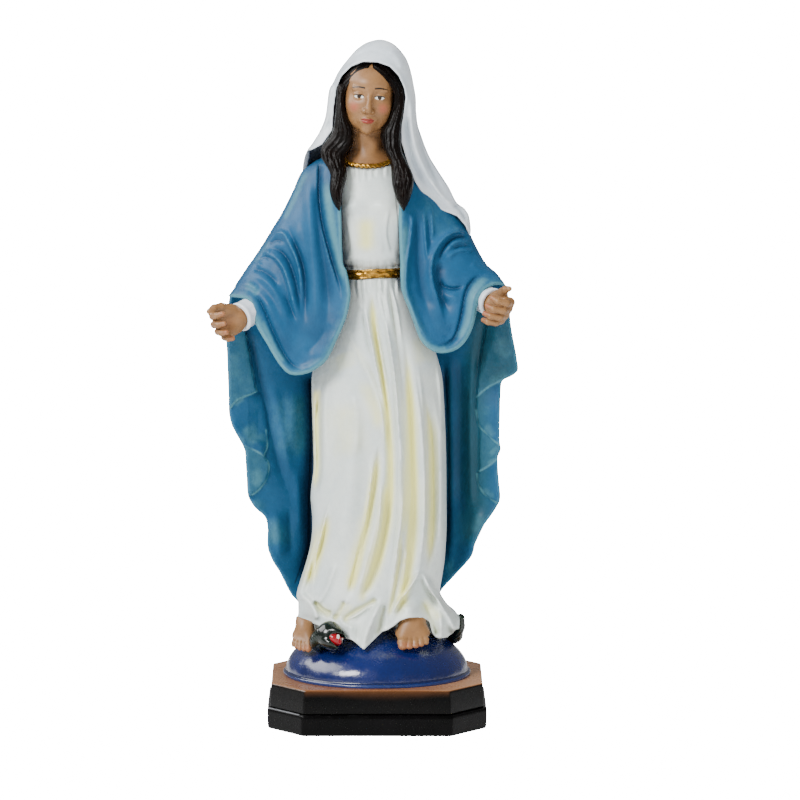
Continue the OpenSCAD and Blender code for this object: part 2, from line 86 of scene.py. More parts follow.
# ---------------------------------------------------------------- maps over the elevation
RES = 2.0
UA, UB, VA, VB = 190.0, 545.0, 20.0, 745.0
GU, GV = np.meshgrid(np.arange(UA, UB, 1 / RES), np.arange(VA, VB, 1 / RES))
SHAPE = GU.shape


def zeros():
    return np.zeros(SHAPE, np.float32)


def curve(pts, k=6):
    """A smooth line through hand-placed points."""
    p = np.array(pts, float)
    if len(p) < 3:
        return p
    q = np.vstack([2 * p[0] - p[1], p, 2 * p[-1] - p[-2]])
    t = (np.arange(k) / k)[:, None]
    out = []
    for i in range(1, len(q) - 2):
        a, b, c, d = q[i - 1], q[i], q[i + 1], q[i + 2]
        out.append(0.5 * (2 * b + (c - a) * t + (2 * a - 5 * b + 4 * c - d) * t * t + (3 * b - a - 3 * c + d) * t ** 3))
    return np.vstack(out + [p[-1:]])


def window(pts, pad):
    lo, hi = np.min(pts, 0) - pad, np.max(pts, 0) + pad
    a = max(0, int((lo[0] - UA) * RES)), max(0, int((lo[1] - VA) * RES))
    b = min(SHAPE[1], int((hi[0] - UA) * RES) + 2), min(SHAPE[0], int((hi[1] - VA) * RES) + 2)
    return slice(a[1], max(a[1], b[1])), slice(a[0], max(a[0], b[0]))


def line_field(line, win):
    """Distance, side and place along a line, over a window of the elevation."""
    X, Y = GU[win], GV[win]
    best = np.full(X.shape, 1e9)
    side = np.zeros(X.shape)
    along = np.zeros(X.shape)
    seg = np.linalg.norm(np.diff(line, axis=0), axis=1)
    cum = np.concatenate([[0], np.cumsum(seg)]) / max(seg.sum(), 1e-9)
    for i in range(len(line) - 1):
        a, b = line[i], line[i + 1]
        d = b - a
        l2 = max(d @ d, 1e-9)
        t = np.clip(((X - a[0]) * d[0] + (Y - a[1]) * d[1]) / l2, 0, 1)
        ex, ey = X - a[0] - t * d[0], Y - a[1] - t * d[1]
        e = ex * ex + ey * ey
        m = e < best
        best[m] = e[m]
        side[m] = np.sign(d[0] * ey - d[1] * ex)[m]
        along[m] = (cum[i] + t * (cum[i + 1] - cum[i]))[m]
    return np.sqrt(best), side, along


def taper(t, a, b):
    """Rises over the first share a and falls over the last share b."""
    up = np.clip(t / a, 0, 1) if a > 0 else 1.0
    dn = np.clip((1 - t) / b, 0, 1) if b > 0 else 1.0
    s = up * dn
    return s * s * (3 - 2 * s)


def stroke(m, pts, w, h, kind="ridge", ends=(0.2, 0.25), gain="add"):
    """Adds a fold to a map. w is its half width (or start and end half widths), h its height in millimetres.
    ridge: rounded both sides. valley: a crease. left/right: a fold whose steep side is on that side of the line's direction of travel."""
    line = curve(pts)
    w0, w1 = w if isinstance(w, tuple) else (w, w)
    win = window(line, 3.2 * max(w0, w1))
    d, side, t = line_field(line, win)
    ww = w0 + (w1 - w0) * t
    if kind == "ridge":
        f = np.exp(-(d / ww) ** 2)
    elif kind == "valley":
        f = np.exp(-np.power(d / ww, 1.4))
    else:
        steep = side > 0 if kind == "right" else side < 0
        f = np.where(steep, np.exp(-(d / (0.42 * ww)) ** 2), np.exp(-(d / (1.25 * ww)) ** 2))
    f = f * taper(t, *ends) * h
    if gain == "add":
        m[win] += f
    elif gain == "max":
        m[win] = np.maximum(m[win], f)
    return m


def region(pts, smooth=3):
    """Signed distance in elevation units to an outline, negative inside."""
    p = np.array(pts, float)
    if smooth > 1:
        n = len(p)
        q = np.vstack([p[-1:], p, p[:2]])
        t = (np.arange(smooth) / smooth)[:, None]
        out = []
        for i in range(1, n + 1):
            a, b, c, d = q[i - 1], q[i], q[i + 1], q[i + 2]
            out.append(0.5 * (2 * b + (c - a) * t + (2 * a - 5 * b + 4 * c - d) * t * t + (3 * b - a - 3 * c + d) * t ** 3))
        p = np.vstack(out)
    p = np.vstack([p, p[:1]])
    win = window(p, 14)
    X, Y = GU[win], GV[win]
    best = np.full(X.shape, 1e9)
    inside = np.zeros(X.shape, bool)
    for i in range(len(p) - 1):
        a, b = p[i], p[i + 1]
        d = b - a
        l2 = max(d @ d, 1e-9)
        t = np.clip(((X - a[0]) * d[0] + (Y - a[1]) * d[1]) / l2, 0, 1)
        e = (X - a[0] - t * d[0]) ** 2 + (Y - a[1] - t * d[1]) ** 2
        np.minimum(best, e, out=best)
        cross = ((a[1] > Y) != (b[1] > Y))
        if cross.any() and a[1] != b[1]:
            inside ^= cross & (X < (b[0] - a[0]) * (Y - a[1]) / (b[1] - a[1]) + a[0])
    sd = np.sqrt(best)
    out = np.full(SHAPE, 40.0, np.float32)
    out[win] = np.where(inside, -sd, sd)
    return out


def dist_map(pts, pad=60):
    """Distance in millimetres to a line, over the elevation."""
    line = curve(pts)
    win = window(line, pad)
    out = np.full(SHAPE, 40.0, np.float32)
    out[win] = line_field(line, win)[0] * 0.324
    return out


def surf(pts):
    """A smooth depth map through hand-placed (u, v, y) points."""
    p = np.array(pts, float)
    n = len(p)
    s = 100.0
    q = p[:, :2] / s

    def k(r2):
        return np.where(r2 > 1e-12, r2 * np.log(np.maximum(r2, 1e-12)), 0.0)
    A = np.zeros((n + 3, n + 3))
    A[:n, :n] = k(((q[:, None] - q[None]) ** 2).sum(-1)) + 0.01 * np.eye(n)
    A[:n, n], A[:n, n + 1:] = 1, q
    A[n, :n], A[n + 1:, :n] = 1, q.T
    c = np.linalg.solve(A, np.concatenate([p[:, 2], np.zeros(3)]))
    X, Y = GU / s, GV / s
    out = c[n] + c[n + 1] * X + c[n + 2] * Y
    for i in range(n):
        out = out + c[i] * k((X - q[i, 0]) ** 2 + (Y - q[i, 1]) ** 2)
    return out.astype(np.float32)


def sample(m, u, v):
    a = np.clip((u - UA) * RES, 0, SHAPE[1] - 1.001)
    b = np.clip((v - VA) * RES, 0, SHAPE[0] - 1.001)
    i, j = a.astype(np.int32), b.astype(np.int32)
    fa, fb = (a - i).astype(np.float32), (b - j).astype(np.float32)
    return (m[j, i] * (1 - fa) + m[j, i + 1] * fa) * (1 - fb) + (m[j + 1, i] * (1 - fa) + m[j + 1, i + 1] * fa) * fb


def blur(m, r):
    """Box blur, twice, r in elevation units."""
    n = max(1, int(r * RES))
    for _ in range(2):
        for ax in (0, 1):
            c = np.cumsum(np.pad(m, [(n + 1, n) if a == ax else (0, 0) for a in (0, 1)], mode="edge"), axis=ax, dtype=np.float64)
            hi = np.take(c, range(2 * n + 1, c.shape[ax]), axis=ax)
            lo = np.take(c, range(0, c.shape[ax] - 2 * n - 1), axis=ax)
            m = ((hi - lo) / (2 * n + 1)).astype(np.float32)
    return m


# ---------------------------------------------------------------- solids from distance fields
def smin(a, b, k):
    h = np.clip(0.5 + 0.5 * (b - a) / k, 0, 1)
    return b + (a - b) * h - k * h * (1 - h)


def smax(a, b, k):
    return -smin(-a, -b, k)


def extract(lo, hi, h, field):
    """Closed mesh of field < 0 inside a box: vertices in millimetres and quads."""
    lo, hi = np.array(lo, float), np.array(hi, float)
    n = np.ceil((hi - lo) / h).astype(int) + 1
    xs, ys, zs = (lo[a] + h * np.arange(n[a]) for a in range(3))
    out = np.empty(tuple(n), np.float32)
    step = max(1, int(3_000_000 / (n[0] * n[1])))
    for k in range(0, n[2], step):
        z = zs[k:k + step]
        X, Y, Z = np.meshgrid(xs.astype(np.float32), ys.astype(np.float32), z.astype(np.float32), indexing="ij")
        out[:, :, k:k + step] = np.clip(field(X, Y, Z) / h, -3, 3)
    for a in range(3):  # nothing may touch the box
        for e in (0, -1):
            s = [slice(None)] * 3
            s[a] = e
            out[tuple(s)] = np.maximum(out[tuple(s)], 0.5)
    g = vdb.FloatGrid(3.0)
    g.copyFromArray(out)
    P, Q = g.convertToQuads(0.0)
    return lo + P.astype(float) * h, Q.astype(np.int64)


def biggest(V, Q):
    """Keeps the largest connected lump only."""
    n = len(V)
    lab = np.arange(n)
    e = np.vstack([Q[:, [0, 1]], Q[:, [1, 2]], Q[:, [2, 3]], Q[:, [3, 0]]])
    while True:
        m = np.minimum(lab[e[:, 0]], lab[e[:, 1]])
        new = lab.copy()
        np.minimum.at(new, e[:, 0], m)
        np.minimum.at(new, e[:, 1], m)
        new = new[new]
        if (new == lab).all():
            break
        lab = new
    ids, cnt = np.unique(lab[Q[:, 0]], return_counts=True)
    keep = np.isin(lab, ids[cnt >= 0.06 * cnt.max()])
    remap = np.cumsum(keep) - 1
    return V[keep], remap[Q[keep[Q[:, 0]]]]


def graph(Q, n):
    e = np.vstack([Q[:, [0, 1]], Q[:, [1, 2]], Q[:, [2, 3]], Q[:, [3, 0]]])
    e = np.unique(np.sort(e, 1), axis=0)
    e = e[e[:, 0] != e[:, 1]]
    return e, np.maximum(np.bincount(e.ravel(), minlength=n), 1)


def relax(V, e, deg, it, lam=0.6):
    V = V.copy()
    n = len(V)
    for _ in range(it):
        for c in range(V.shape[1]):
            s = np.bincount(e[:, 0], V[e[:, 1], c], n) + np.bincount(e[:, 1], V[e[:, 0], c], n)
            V[:, c] += lam * (s / deg - V[:, c])
    return V


def normals(V, Q):
    a, b, c, d = V[Q[:, 0]], V[Q[:, 1]], V[Q[:, 2]], V[Q[:, 3]]
    fn = np.cross(c - a, d - b)
    N = np.zeros_like(V)
    for k in range(4):
        for ax in range(3):
            N[:, ax] += np.bincount(Q[:, k], fn[:, ax], len(V))
    return N / np.maximum(np.linalg.norm(N, axis=1, keepdims=True), 1e-12)


def ball(X, Y, Z, c, r):
    return np.sqrt((X - c[0]) ** 2 + (Y - c[1]) ** 2 + (Z - c[2]) ** 2) - r


def egg(X, Y, Z, c, r):
    """Ellipsoid, close to a true distance near its surface."""
    p = [(X - c[0]), (Y - c[1]), (Z - c[2])]
    k0 = np.sqrt(sum((p[i] / r[i]) ** 2 for i in range(3)))
    k1 = np.sqrt(sum((p[i] / (r[i] * r[i])) ** 2 for i in range(3)))
    return k0 * (k0 - 1.0) / np.maximum(k1, 1e-6)


def rod(X, Y, Z, a, b, ra, rb=None):
    """Capsule from a to b with its radius running from ra to rb."""
    rb = ra if rb is None else rb
    a, b = np.array(a, float), np.array(b, float)
    d = b - a
    t = np.clip(((X - a[0]) * d[0] + (Y - a[1]) * d[1] + (Z - a[2]) * d[2]) / max(d @ d, 1e-9), 0, 1)
    q = np.sqrt((X - a[0] - t * d[0]) ** 2 + (Y - a[1] - t * d[1]) ** 2 + (Z - a[2] - t * d[2]) ** 2)
    return q - (ra + (rb - ra) * t)


def chain(X, Y, Z, pts, rs, k=0.4):
    f = None
    for i in range(len(pts) - 1):
        g = rod(X, Y, Z, pts[i], pts[i + 1], rs[i], rs[i + 1])
        f = g if f is None else smin(f, g, k)
    return f


def turned(X, Y, Z, M, o):
    """World points in a piece's own axes. Rows of M are those axes, o its origin."""
    x, y, z = X - o[0], Y - o[1], Z - o[2]
    return tuple(M[i][0] * x + M[i][1] * y + M[i][2] * z for i in range(3))


# ---------------------------------------------------------------- pieces
PIECES = {}


def add(name, V, Q, node, mat, attrs=None, smooth=True, also=()):
    me = bpy.data.meshes.new(name)
    V = np.asarray(V, float)
    Q = np.asarray(Q)
    me.vertices.add(len(V))
    me.vertices.foreach_set("co", (V * OV).astype(np.float32).ravel())
    tri = Q[:, 2] == Q[:, 3]
    T, F = Q[tri][:, :3], Q[~tri]
    loops = np.concatenate([F.ravel(), T.ravel()]).astype(np.int32)
    starts = np.concatenate([np.arange(len(F)) * 4, len(F) * 4 + np.arange(len(T)) * 3]).astype(np.int32)
    me.loops.add(len(loops))
    me.loops.foreach_set("vertex_index", loops)
    me.polygons.add(len(starts))
    me.polygons.foreach_set("loop_start", starts)
    me.update(calc_edges=True)
    me.polygons.foreach_set("use_smooth", np.full(len(starts), smooth))
    for key, val in (attrs or {}).items():
        a = me.attributes.new(key, "FLOAT", "POINT")
        a.data.foreach_set("value", np.asarray(val, np.float32))
    me.validate()
    o = bpy.data.objects.new(name, me)
    bpy.context.scene.collection.objects.link(o)
    me.materials.append(mat)
    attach(o, "root")
    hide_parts(node, *also)
    PIECES[name] = o
    return o


def relief_attrs(V, Q, fine=5, broad=40):
    """Convexity at two scales: positive on ridges, negative in hollows."""
    e, deg = graph(Q, len(V))
    N = normals(V, Q)
    a = relax(V, e, deg, fine)
    b = relax(a, e, deg, broad)
    return {"fine": ((V - a) * N).sum(1), "broad": ((a - b) * N).sum(1)}, N


def quads(ni, nj, close_i=False, close_j=False):
    i = np.arange(ni if close_i else ni - 1)[:, None]
    j = np.arange(nj if close_j else nj - 1)[None]
    a = i * nj + j
    b = i * nj + (j + 1) % nj
    c = ((i + 1) % ni) * nj + (j + 1) % nj
    d = ((i + 1) % ni) * nj + j
    return np.stack([a, b, c, d], -1).reshape(-1, 4)


def lathe(rings):
    """Closed solid through rings (each n points, counter-clockwise seen from above) from bottom to top, closed by shrinking rings."""
    R = np.array(rings, float)
    m, n = R.shape[:2]
    V = R.reshape(-1, 3)
    Q = quads(m, n, False, True)
    V = np.vstack([V, R[0].mean(0), R[-1].mean(0)])
    j = np.arange(n)
    k = (j + 1) % n
    bot = np.stack([np.full(n, m * n), k, j, j], -1)
    top = np.stack([np.full(n, m * n + 1), (m - 1) * n + j, (m - 1) * n + k, (m - 1) * n + k], -1)
    return V, np.vstack([Q, bot, top])


# ---------------------------------------------------------------- paint
def srgb(r, g, b):
    return tuple(((c / 255 + 0.055) / 1.055) ** 2.4 if c > 10 else c / 255 / 12.92 for c in (r, g, b)) + (1.0,)


class Paint:
    """A painted-resin material: a base coat with cloudy variation, then washes and dry-brushing driven by the piece's own attributes."""

    def __init__(self, name, base, base2, rough=0.34, rough_var=0.12, coat=0.0, coat_rough=0.12, metal=0.0,
                 cloud=120.0, bump=0.12, bump_scale=900.0, streak=None, spec=0.5, grain=0.05):
        self.m = bpy.data.materials.new(name)
        self.m.use_nodes = True
        self.nt = self.m.node_tree
        self.n = self.nt.nodes
        self.l = self.nt.links
        self.b = self.n["Principled BSDF"]
        self.b.inputs["Specular IOR Level"].default_value = spec
        self.b.inputs["Metallic"].default_value = metal
        self.b.inputs["Coat Weight"].default_value = coat
        self.b.inputs["Coat Roughness"].default_value = coat_rough
        self.tc = self.n.new("ShaderNodeTexCoord")
        n1 = self.noise(cloud, 4.0, 0.55)
        self.col = self.mix(base, base2, self.ramp(n1, 0.35, 0.68))
        n2 = self.noise(cloud * 9, 3.0, 0.6)
        self.col = self.mix(self.col, self.scaled(self.col, 1 - grain), self.ramp(n2, 0.35, 0.7))
        r = self.math("MULTIPLY_ADD", self.ramp(self.noise(cloud * 2.2, 3.0, 0.6), 0.3, 0.75), rough_var, rough - rough_var / 2)
        self.rough = r
        nb = self.noise(bump_scale, 3.0, 0.6, streak)
        nb2 = self.noise(bump_scale * 0.23, 2.0, 0.5, streak)
        h = self.math("MULTIPLY_ADD", nb2, 2.2, nb)
        self.bump = self.n.new("ShaderNodeBump")
        self.bump.inputs["Strength"].default_value = bump
        self.bump.inputs["Distance"].default_value = 0.00025
        self.l.new(h, self.bump.inputs["Height"])

    def noise(self, scale, detail, rough, stretch=None):
        t = self.n.new("ShaderNodeTexNoise")
        t.inputs["Scale"].default_value = scale
        t.inputs["Detail"].default_value = detail
        t.inputs["Roughness"].default_value = rough
        if stretch:
            mp = self.n.new("ShaderNodeMapping")
            mp.inputs["Scale"].default_value = stretch
            self.l.new(self.tc.outputs["Object"], mp.inputs["Vector"])
            self.l.new(mp.outputs[0], t.inputs["Vector"])
        else:
            self.l.new(self.tc.outputs["Object"], t.inputs["Vector"])
        return t.outputs["Fac"]

    def plug(self, sock, v):
        if hasattr(v, "is_linked") or isinstance(v, bpy.types.NodeSocket):
            self.l.new(v, sock)
        else:
            sock.default_value = v

    def math(self, op, a, b=0.0, c=0.0, clamp=False):
        t = self.n.new("ShaderNodeMath")
        t.operation = op
        t.use_clamp = clamp
        for k, v in enumerate((a, b, c)):
            self.plug(t.inputs[k], v)
        return t.outputs[0]

    def ramp(self, v, lo, hi):
        t = self.n.new("ShaderNodeMapRange")
        t.interpolation_type = "SMOOTHSTEP"
        self.plug(t.inputs["Value"], v)
        t.inputs["From Min"].default_value = lo
        t.inputs["From Max"].default_value = hi
        return t.outputs["Result"]

    def mix(self, a, b, f, blend="MIX"):
        t = self.n.new("ShaderNodeMix")
        t.data_type = "RGBA"
        t.blend_type = blend
        self.plug(t.inputs[0], f)
        self.plug(t.inputs[6], a)
        self.plug(t.inputs[7], b)
        return t.outputs[2]

    def scaled(self, a, k):
        return self.mix(a, (k, k, k, 1.0), 1.0, "MULTIPLY")

    def attr(self, name):
        t = self.n.new("ShaderNodeAttribute")
        t.attribute_name = name
        return t.outputs["Fac"]

    def layer(self, mask, color, lo=0.0, hi=1.0, amount=1.0, ragged=0.25, scale=260.0, stretch=None, rough=None):
        """Paints color where an attribute (or a socket) passes from lo to hi, with a ragged, brushed edge."""
        v = self.attr(mask) if isinstance(mask, str) else mask
        if ragged:
            n = self.noise(scale, 3.0, 0.65, stretch)
            v = self.math("MULTIPLY_ADD", self.math("SUBTRACT", n, 0.5), ragged * (hi - lo) * 2.0, v)
        f = self.math("MULTIPLY", self.ramp(v, lo, hi), amount)
        self.col = self.mix(self.col, color, f)
        if rough is not None:
            self.rough = self.math("MULTIPLY_ADD", f, rough, self.rough)
        return f

    def done(self):
        self.l.new(self.col, self.b.inputs["Base Color"])
        self.l.new(self.rough, self.b.inputs["Roughness"])
        self.l.new(self.bump.outputs[0], self.b.inputs["Normal"])
        return self.m


# ---------------------------------------------------------------- tables of sections
def fine_table(tab, n=160):
    """A table of sections resampled on a smooth curve, first column the height."""
    t = np.array(tab, float)
    t = t[np.argsort(t[:, 0])]
    z = np.linspace(t[0, 0], t[-1, 0], n)
    out = [z]
    for c in range(1, t.shape[1]):
        x, y = t[:, 0], t[:, c]
        d = np.diff(y) / np.diff(x)
        m = np.concatenate([[d[0]], np.where(d[1:] * d[:-1] > 0, 2 * d[1:] * d[:-1] / (d[1:] + d[:-1] + 1e-12), 0), [d[-1]]])
        i = np.clip(np.searchsorted(x, z) - 1, 0, len(x) - 2)
        h = x[i + 1] - x[i]
        s = (z - x[i]) / h
        out.append((1 + 2 * s) * (1 - s) ** 2 * y[i] + s * (1 - s) ** 2 * h * m[i] + s * s * (3 - 2 * s) * y[i + 1] + s * s * (s - 1) * h * m[i + 1])
    return np.array(out).T


def look(tab, c, z):
    return np.interp(z, tab[:, 0], tab[:, c]).astype(np.float32)


def tube(X, Y, Z, tab, p=2.0):
    """Distance to a body with oval sections. Columns: z, left, right, front, back."""
    xl, xr, yf, yb = (look(tab, c, Z) for c in (1, 2, 3, 4))
    cx, a = (xl + xr) / 2, np.maximum((xr - xl) / 2, 0.05)
    cy = 0.0
    x = np.abs(X - cx)
    y = np.abs(Y - cy)
    b = np.maximum(np.where(Y < cy, -yf, yb), 0.05)
    k0 = np.power(np.power(x / a, p) + np.power(y / b, p), 1 / p)
    g = np.power(np.maximum(k0, 1e-3), 1 - p) * np.sqrt((np.power(x, p - 1) / a ** p) ** 2 + (np.power(y, p - 1) / b ** p) ** 2)
    return (k0 - 1) / np.maximum(g, 1.0 / (4 * np.maximum(a, b)))


def px(m):
    """Elevation distance to millimetres."""
    return m * 0.324


# ---------------------------------------------------------------- materials
def make_paints():
    M = {}
    p = Paint("mantle_paint", srgb(27, 75, 110), srgb(33, 84, 121), rough=0.46, rough_var=0.16, coat=0.03, coat_rough=0.2, cloud=70, bump=0.22, spec=0.13)
    p.layer("dark", srgb(14, 38, 64), 0.05, 0.95, 0.85, ragged=0.10, scale=160)
    p.layer("teal", srgb(44, 88, 102), 0.1, 1.0, 0.8, ragged=0.2, scale=180)
    p.layer("pale", srgb(84, 138, 150), 0.12, 0.95, 0.9, ragged=0.22, scale=420)
    p.layer("fine", srgb(66, 118, 148), 0.035, 0.16, 0.5, ragged=0.5, scale=700)
    p.layer("line", srgb(8, 20, 32), 0.3, 0.9, 0.8, ragged=0.2, scale=600)
    M["mantle"] = p.done()
    p = Paint("gown_paint", srgb(220, 228, 222), srgb(206, 217, 215), rough=0.40, rough_var=0.16, coat=0.08, coat_rough=0.25, cloud=80, bump=0.16, spec=0.4)
    p.layer("dark", srgb(150, 158, 146), 0.1, 1.0, 0.8, ragged=0.15, scale=200)
    p.layer("wash", srgb(240, 236, 148), 0.03, 0.95, 0.9, ragged=0.2, scale=220, stretch=(1.0, 1.0, 0.3))
    p.layer("fine", srgb(244, 246, 243), 0.03, 0.14, 0.6, ragged=0.4, scale=700)
    p.layer("line", srgb(60, 62, 62), 0.35, 0.95, 0.7, ragged=0.3, scale=600)
    M["gown"] = p.done()
    p = Paint("veil_paint", srgb(226, 234, 238), srgb(208, 219, 228), rough=0.42, rough_var=0.16, coat=0.08, coat_rough=0.25, cloud=70, bump=0.18, spec=0.4)
    p.layer("dark", srgb(140, 156, 168), 0.1, 1.0, 0.7, ragged=0.15, scale=200)
    p.layer("fine", srgb(244, 247, 249), 0.03, 0.14, 0.6, ragged=0.4, scale=700)
    p.layer("line", srgb(46, 58, 76), 0.3, 0.95, 0.8, ragged=0.25, scale=600)
    M["veil"] = p.done()
    p = Paint("cuff_paint", srgb(228, 234, 240), srgb(214, 222, 231), rough=0.38, coat=0.1, cloud=120, bump=0.18, spec=0.4)
    p.layer("fine", srgb(150, 160, 174), -0.03, -0.12, 0.7, ragged=0.3, scale=700)
    M["cuff"] = p.done()
    p = Paint("skin_paint", srgb(142, 103, 65), srgb(134, 96, 60), rough=0.46, rough_var=0.12, coat=0.05, coat_rough=0.3, cloud=180, bump=0.10, bump_scale=1400, spec=0.35)
    p.layer("dark", srgb(92, 58, 36), 0.15, 1.0, 0.75, ragged=0.2, scale=500)
    p.layer("fine", srgb(196, 154, 108), 0.03, 0.14, 0.4, ragged=0.3, scale=800)
    p.layer("blush", srgb(170, 74, 56), 0.08, 1.0, 0.6, ragged=0.15, scale=300)
    p.layer("lips", srgb(134, 36, 34), 0.3, 0.9, 0.85, ragged=0.15, scale=900)
    p.layer("white", srgb(226, 224, 216), 0.4, 0.7, 1.0, ragged=0.0)
    p.layer("black", srgb(10, 6, 4), 0.35, 0.75, 0.95, ragged=0.0)
    M["skin"] = p.done()
    p = Paint("hair_paint", srgb(7, 4, 3), srgb(13, 7, 5), rough=0.42, rough_var=0.16, coat=0.01, coat_rough=0.25, cloud=200, bump=0.3, bump_scale=500, spec=0.10)
    p.layer("fine", srgb(74, 48, 36), 0.05, 0.16, 0.55, ragged=0.5, scale=700)
    p.layer("dark", srgb(3, 2, 2), 0.1, 1.0, 0.8, ragged=0.2, scale=300)
    M["hair"] = p.done()
    p = Paint("gilt", srgb(190, 140, 50), srgb(150, 104, 32), rough=0.34, rough_var=0.22, metal=0.85, cloud=260, bump=0.6, bump_scale=700)
    p.layer("line", srgb(44, 28, 12), 0.2, 0.9, 0.9, ragged=0.3, scale=600)
    p.layer("fine", srgb(240, 214, 140), 0.02, 0.12, 0.6, ragged=0.4, scale=700)
    M["gilt"] = p.done()
    p = Paint("globe_paint", srgb(12, 28, 86), srgb(10, 24, 74), rough=0.25, rough_var=0.14, coat=0.3, coat_rough=0.10, cloud=90, bump=0.55, bump_scale=330, spec=0.5)
    p.layer("rim", srgb(8, 16, 46), 0.2, 0.95, 0.7, ragged=0.25, scale=300)
    p.layer("fine", srgb(40, 70, 130), 0.03, 0.14, 0.4, ragged=0.5, scale=600)
    M["globe"] = p.done()
    p = Paint("plinth_top_paint", srgb(3, 3, 3), srgb(5, 4, 4), rough=0.30, rough_var=0.10, coat=0.03, coat_rough=0.15, cloud=110, bump=0.05, spec=0.10)
    p.layer("brown", srgb(122, 77, 46), 0.06, 1.0, 1.0, ragged=0.04, scale=120)
    p.layer("amber", srgb(174, 132, 98), 0.15, 1.0, 0.7, ragged=0.3, scale=60, stretch=(0.4, 1.0, 1.0))
    p.layer("worn", srgb(150, 146, 142), 0.3, 1.0, 0.7, ragged=0.35, scale=300)
    p.layer("fine", srgb(150, 100, 62), 0.05, 0.2, 0.35, ragged=0.5, scale=600)
    M["cap"] = p.done()
    p = Paint("plinth_paint", srgb(3, 3, 3), srgb(5, 4, 5), rough=0.28, rough_var=0.10, coat=0.02, coat_rough=0.15, cloud=110, bump=0.05, spec=0.08)
    p.layer("fine", srgb(60, 58, 60), 0.06, 0.22, 0.4, ragged=0.7, scale=500)
    p.layer("worn", srgb(150, 152, 156), 0.3, 1.0, 0.7, ragged=0.35, scale=300)
    M["plinth"] = p.done()
    p = Paint("felt", srgb(24, 34, 24), srgb(18, 26, 20), rough=0.95, cloud=500, bump=0.9, bump_scale=2600, spec=0.1)
    M["felt"] = p.done()
    p = Paint("serpent_paint", srgb(9, 25, 15), srgb(5, 13, 9), rough=0.22, rough_var=0.14, coat=0.25, coat_rough=0.06, cloud=220, bump=0.2, spec=0.35)
    p.layer("fine", srgb(90, 116, 96), 0.05, 0.17, 0.6, ragged=0.7, scale=600)
    p.layer("dark", srgb(2, 4, 3), 0.1, 0.9, 0.8, ragged=0.2)
    p.layer("white", srgb(220, 218, 206), 0.4, 0.7, 1.0, ragged=0.0)
    M["serpent"] = p.done()
    p = Paint("mouth_paint", srgb(150, 10, 26), srgb(120, 6, 18), rough=0.24, coat=0.3, coat_rough=0.08, cloud=300, bump=0.2, spec=0.35)
    p.layer("white", srgb(226, 222, 212), 0.4, 0.7, 1.0, ragged=0.0)
    M["mouth"] = p.done()
    p = Paint("pin_steel", srgb(150, 150, 152), srgb(128, 128, 132), rough=0.35, metal=1.0, cloud=300, bump=0.3, bump_scale=1500)
    M["steel"] = p.done()
    return M


PAINT = make_paints()


def masks(V, Q, fine=5, broad=40, deep=0.45, **maps):
    """Attributes for a piece: convexity, hollows, and maps of the elevation sampled where the surface faces front."""
    at, N = relief_attrs(V, Q, fine, broad)
    u, v = front(V[:, 0], V[:, 1], V[:, 2])
    face = np.clip((-N[:, 1] + 0.15) / 0.5, 0, 1)
    at["dark"] = np.clip(-at["broad"] / deep, 0, 1)
    for k, m in maps.items():
        val = sample(m, u, v) * face
        at[k] = np.maximum(val, at["dark"]) if k == "dark" else val
    return at, N, u, v, face


# ---------------------------------------------------------------- plinth
def octagon(w, d, cx, cy, r, n=320):
    """Rectangle with cut corners, corners rounded by r, as n points counter-clockwise."""
    P = np.array([[-w + 2 * cx, -d], [w - 2 * cx, -d], [w, -d + 2 * cy], [w, d - 2 * cy],
                  [w - 2 * cx, d], [-w + 2 * cx, d], [-w, d - 2 * cy], [-w, -d + 2 * cy]]) / 2
    pts = []
    for i in range(8):
        a, b, c = P[i - 1], P[i], P[(i + 1) % 8]
        e1, e2 = (a - b) / np.linalg.norm(a - b), (c - b) / np.linalg.norm(c - b)
        half = math.acos(np.clip(e1 @ e2, -1, 1)) / 2
        t = r / math.tan(half)
        m = (e1 + e2) / np.linalg.norm(e1 + e2)
        o = b + m * r / math.sin(half)
        s, f = b + e1 * t - o, b + e2 * t - o
        a0, a1 = math.atan2(s[1], s[0]), math.atan2(f[1], f[0])
        while a1 < a0:
            a1 += 2 * math.pi
        for k in range(7):
            g = a0 + (a1 - a0) * k / 6
            pts.append(o + r * np.array([math.cos(g), math.sin(g)]))
    pts = np.array(pts + [pts[0]])
    L = np.concatenate([[0], np.cumsum(np.linalg.norm(np.diff(pts, axis=0), axis=1))])
    keep = L[:-1]
    extra = np.linspace(0, L[-1], n - len(keep), endpoint=False)
    t = np.sort(np.concatenate([keep, extra]))
    t[1:] = np.maximum(t[1:], t[:-1] + 1e-4)
    return np.stack([np.interp(t, L, pts[:, 0]), np.interp(t, L, pts[:, 1])], -1)


def wobble(V, amp, scale, seed):
    """Small, slow unevenness, as in a hand-finished casting."""
    rs = np.random.RandomState(seed)
    out = np.zeros_like(V)
    for _ in range(7):
        k = rs.normal(size=3) / scale
        d = rs.normal(size=3)
        out += np.sin(V @ k + rs.uniform(0, 6.3))[:, None] * d / np.linalg.norm(d)
    return V + out * amp / 2.6


def stack(rings, w, d, cx, cy):
    out = []
    for z, ins, r in rings:
        p = octagon(w - 2 * ins, d - 2 * ins, cx - 0.35 * ins, cy - 0.35 * ins, r)
        out.append(np.column_stack([p, np.full(len(p), z)]))
    return out


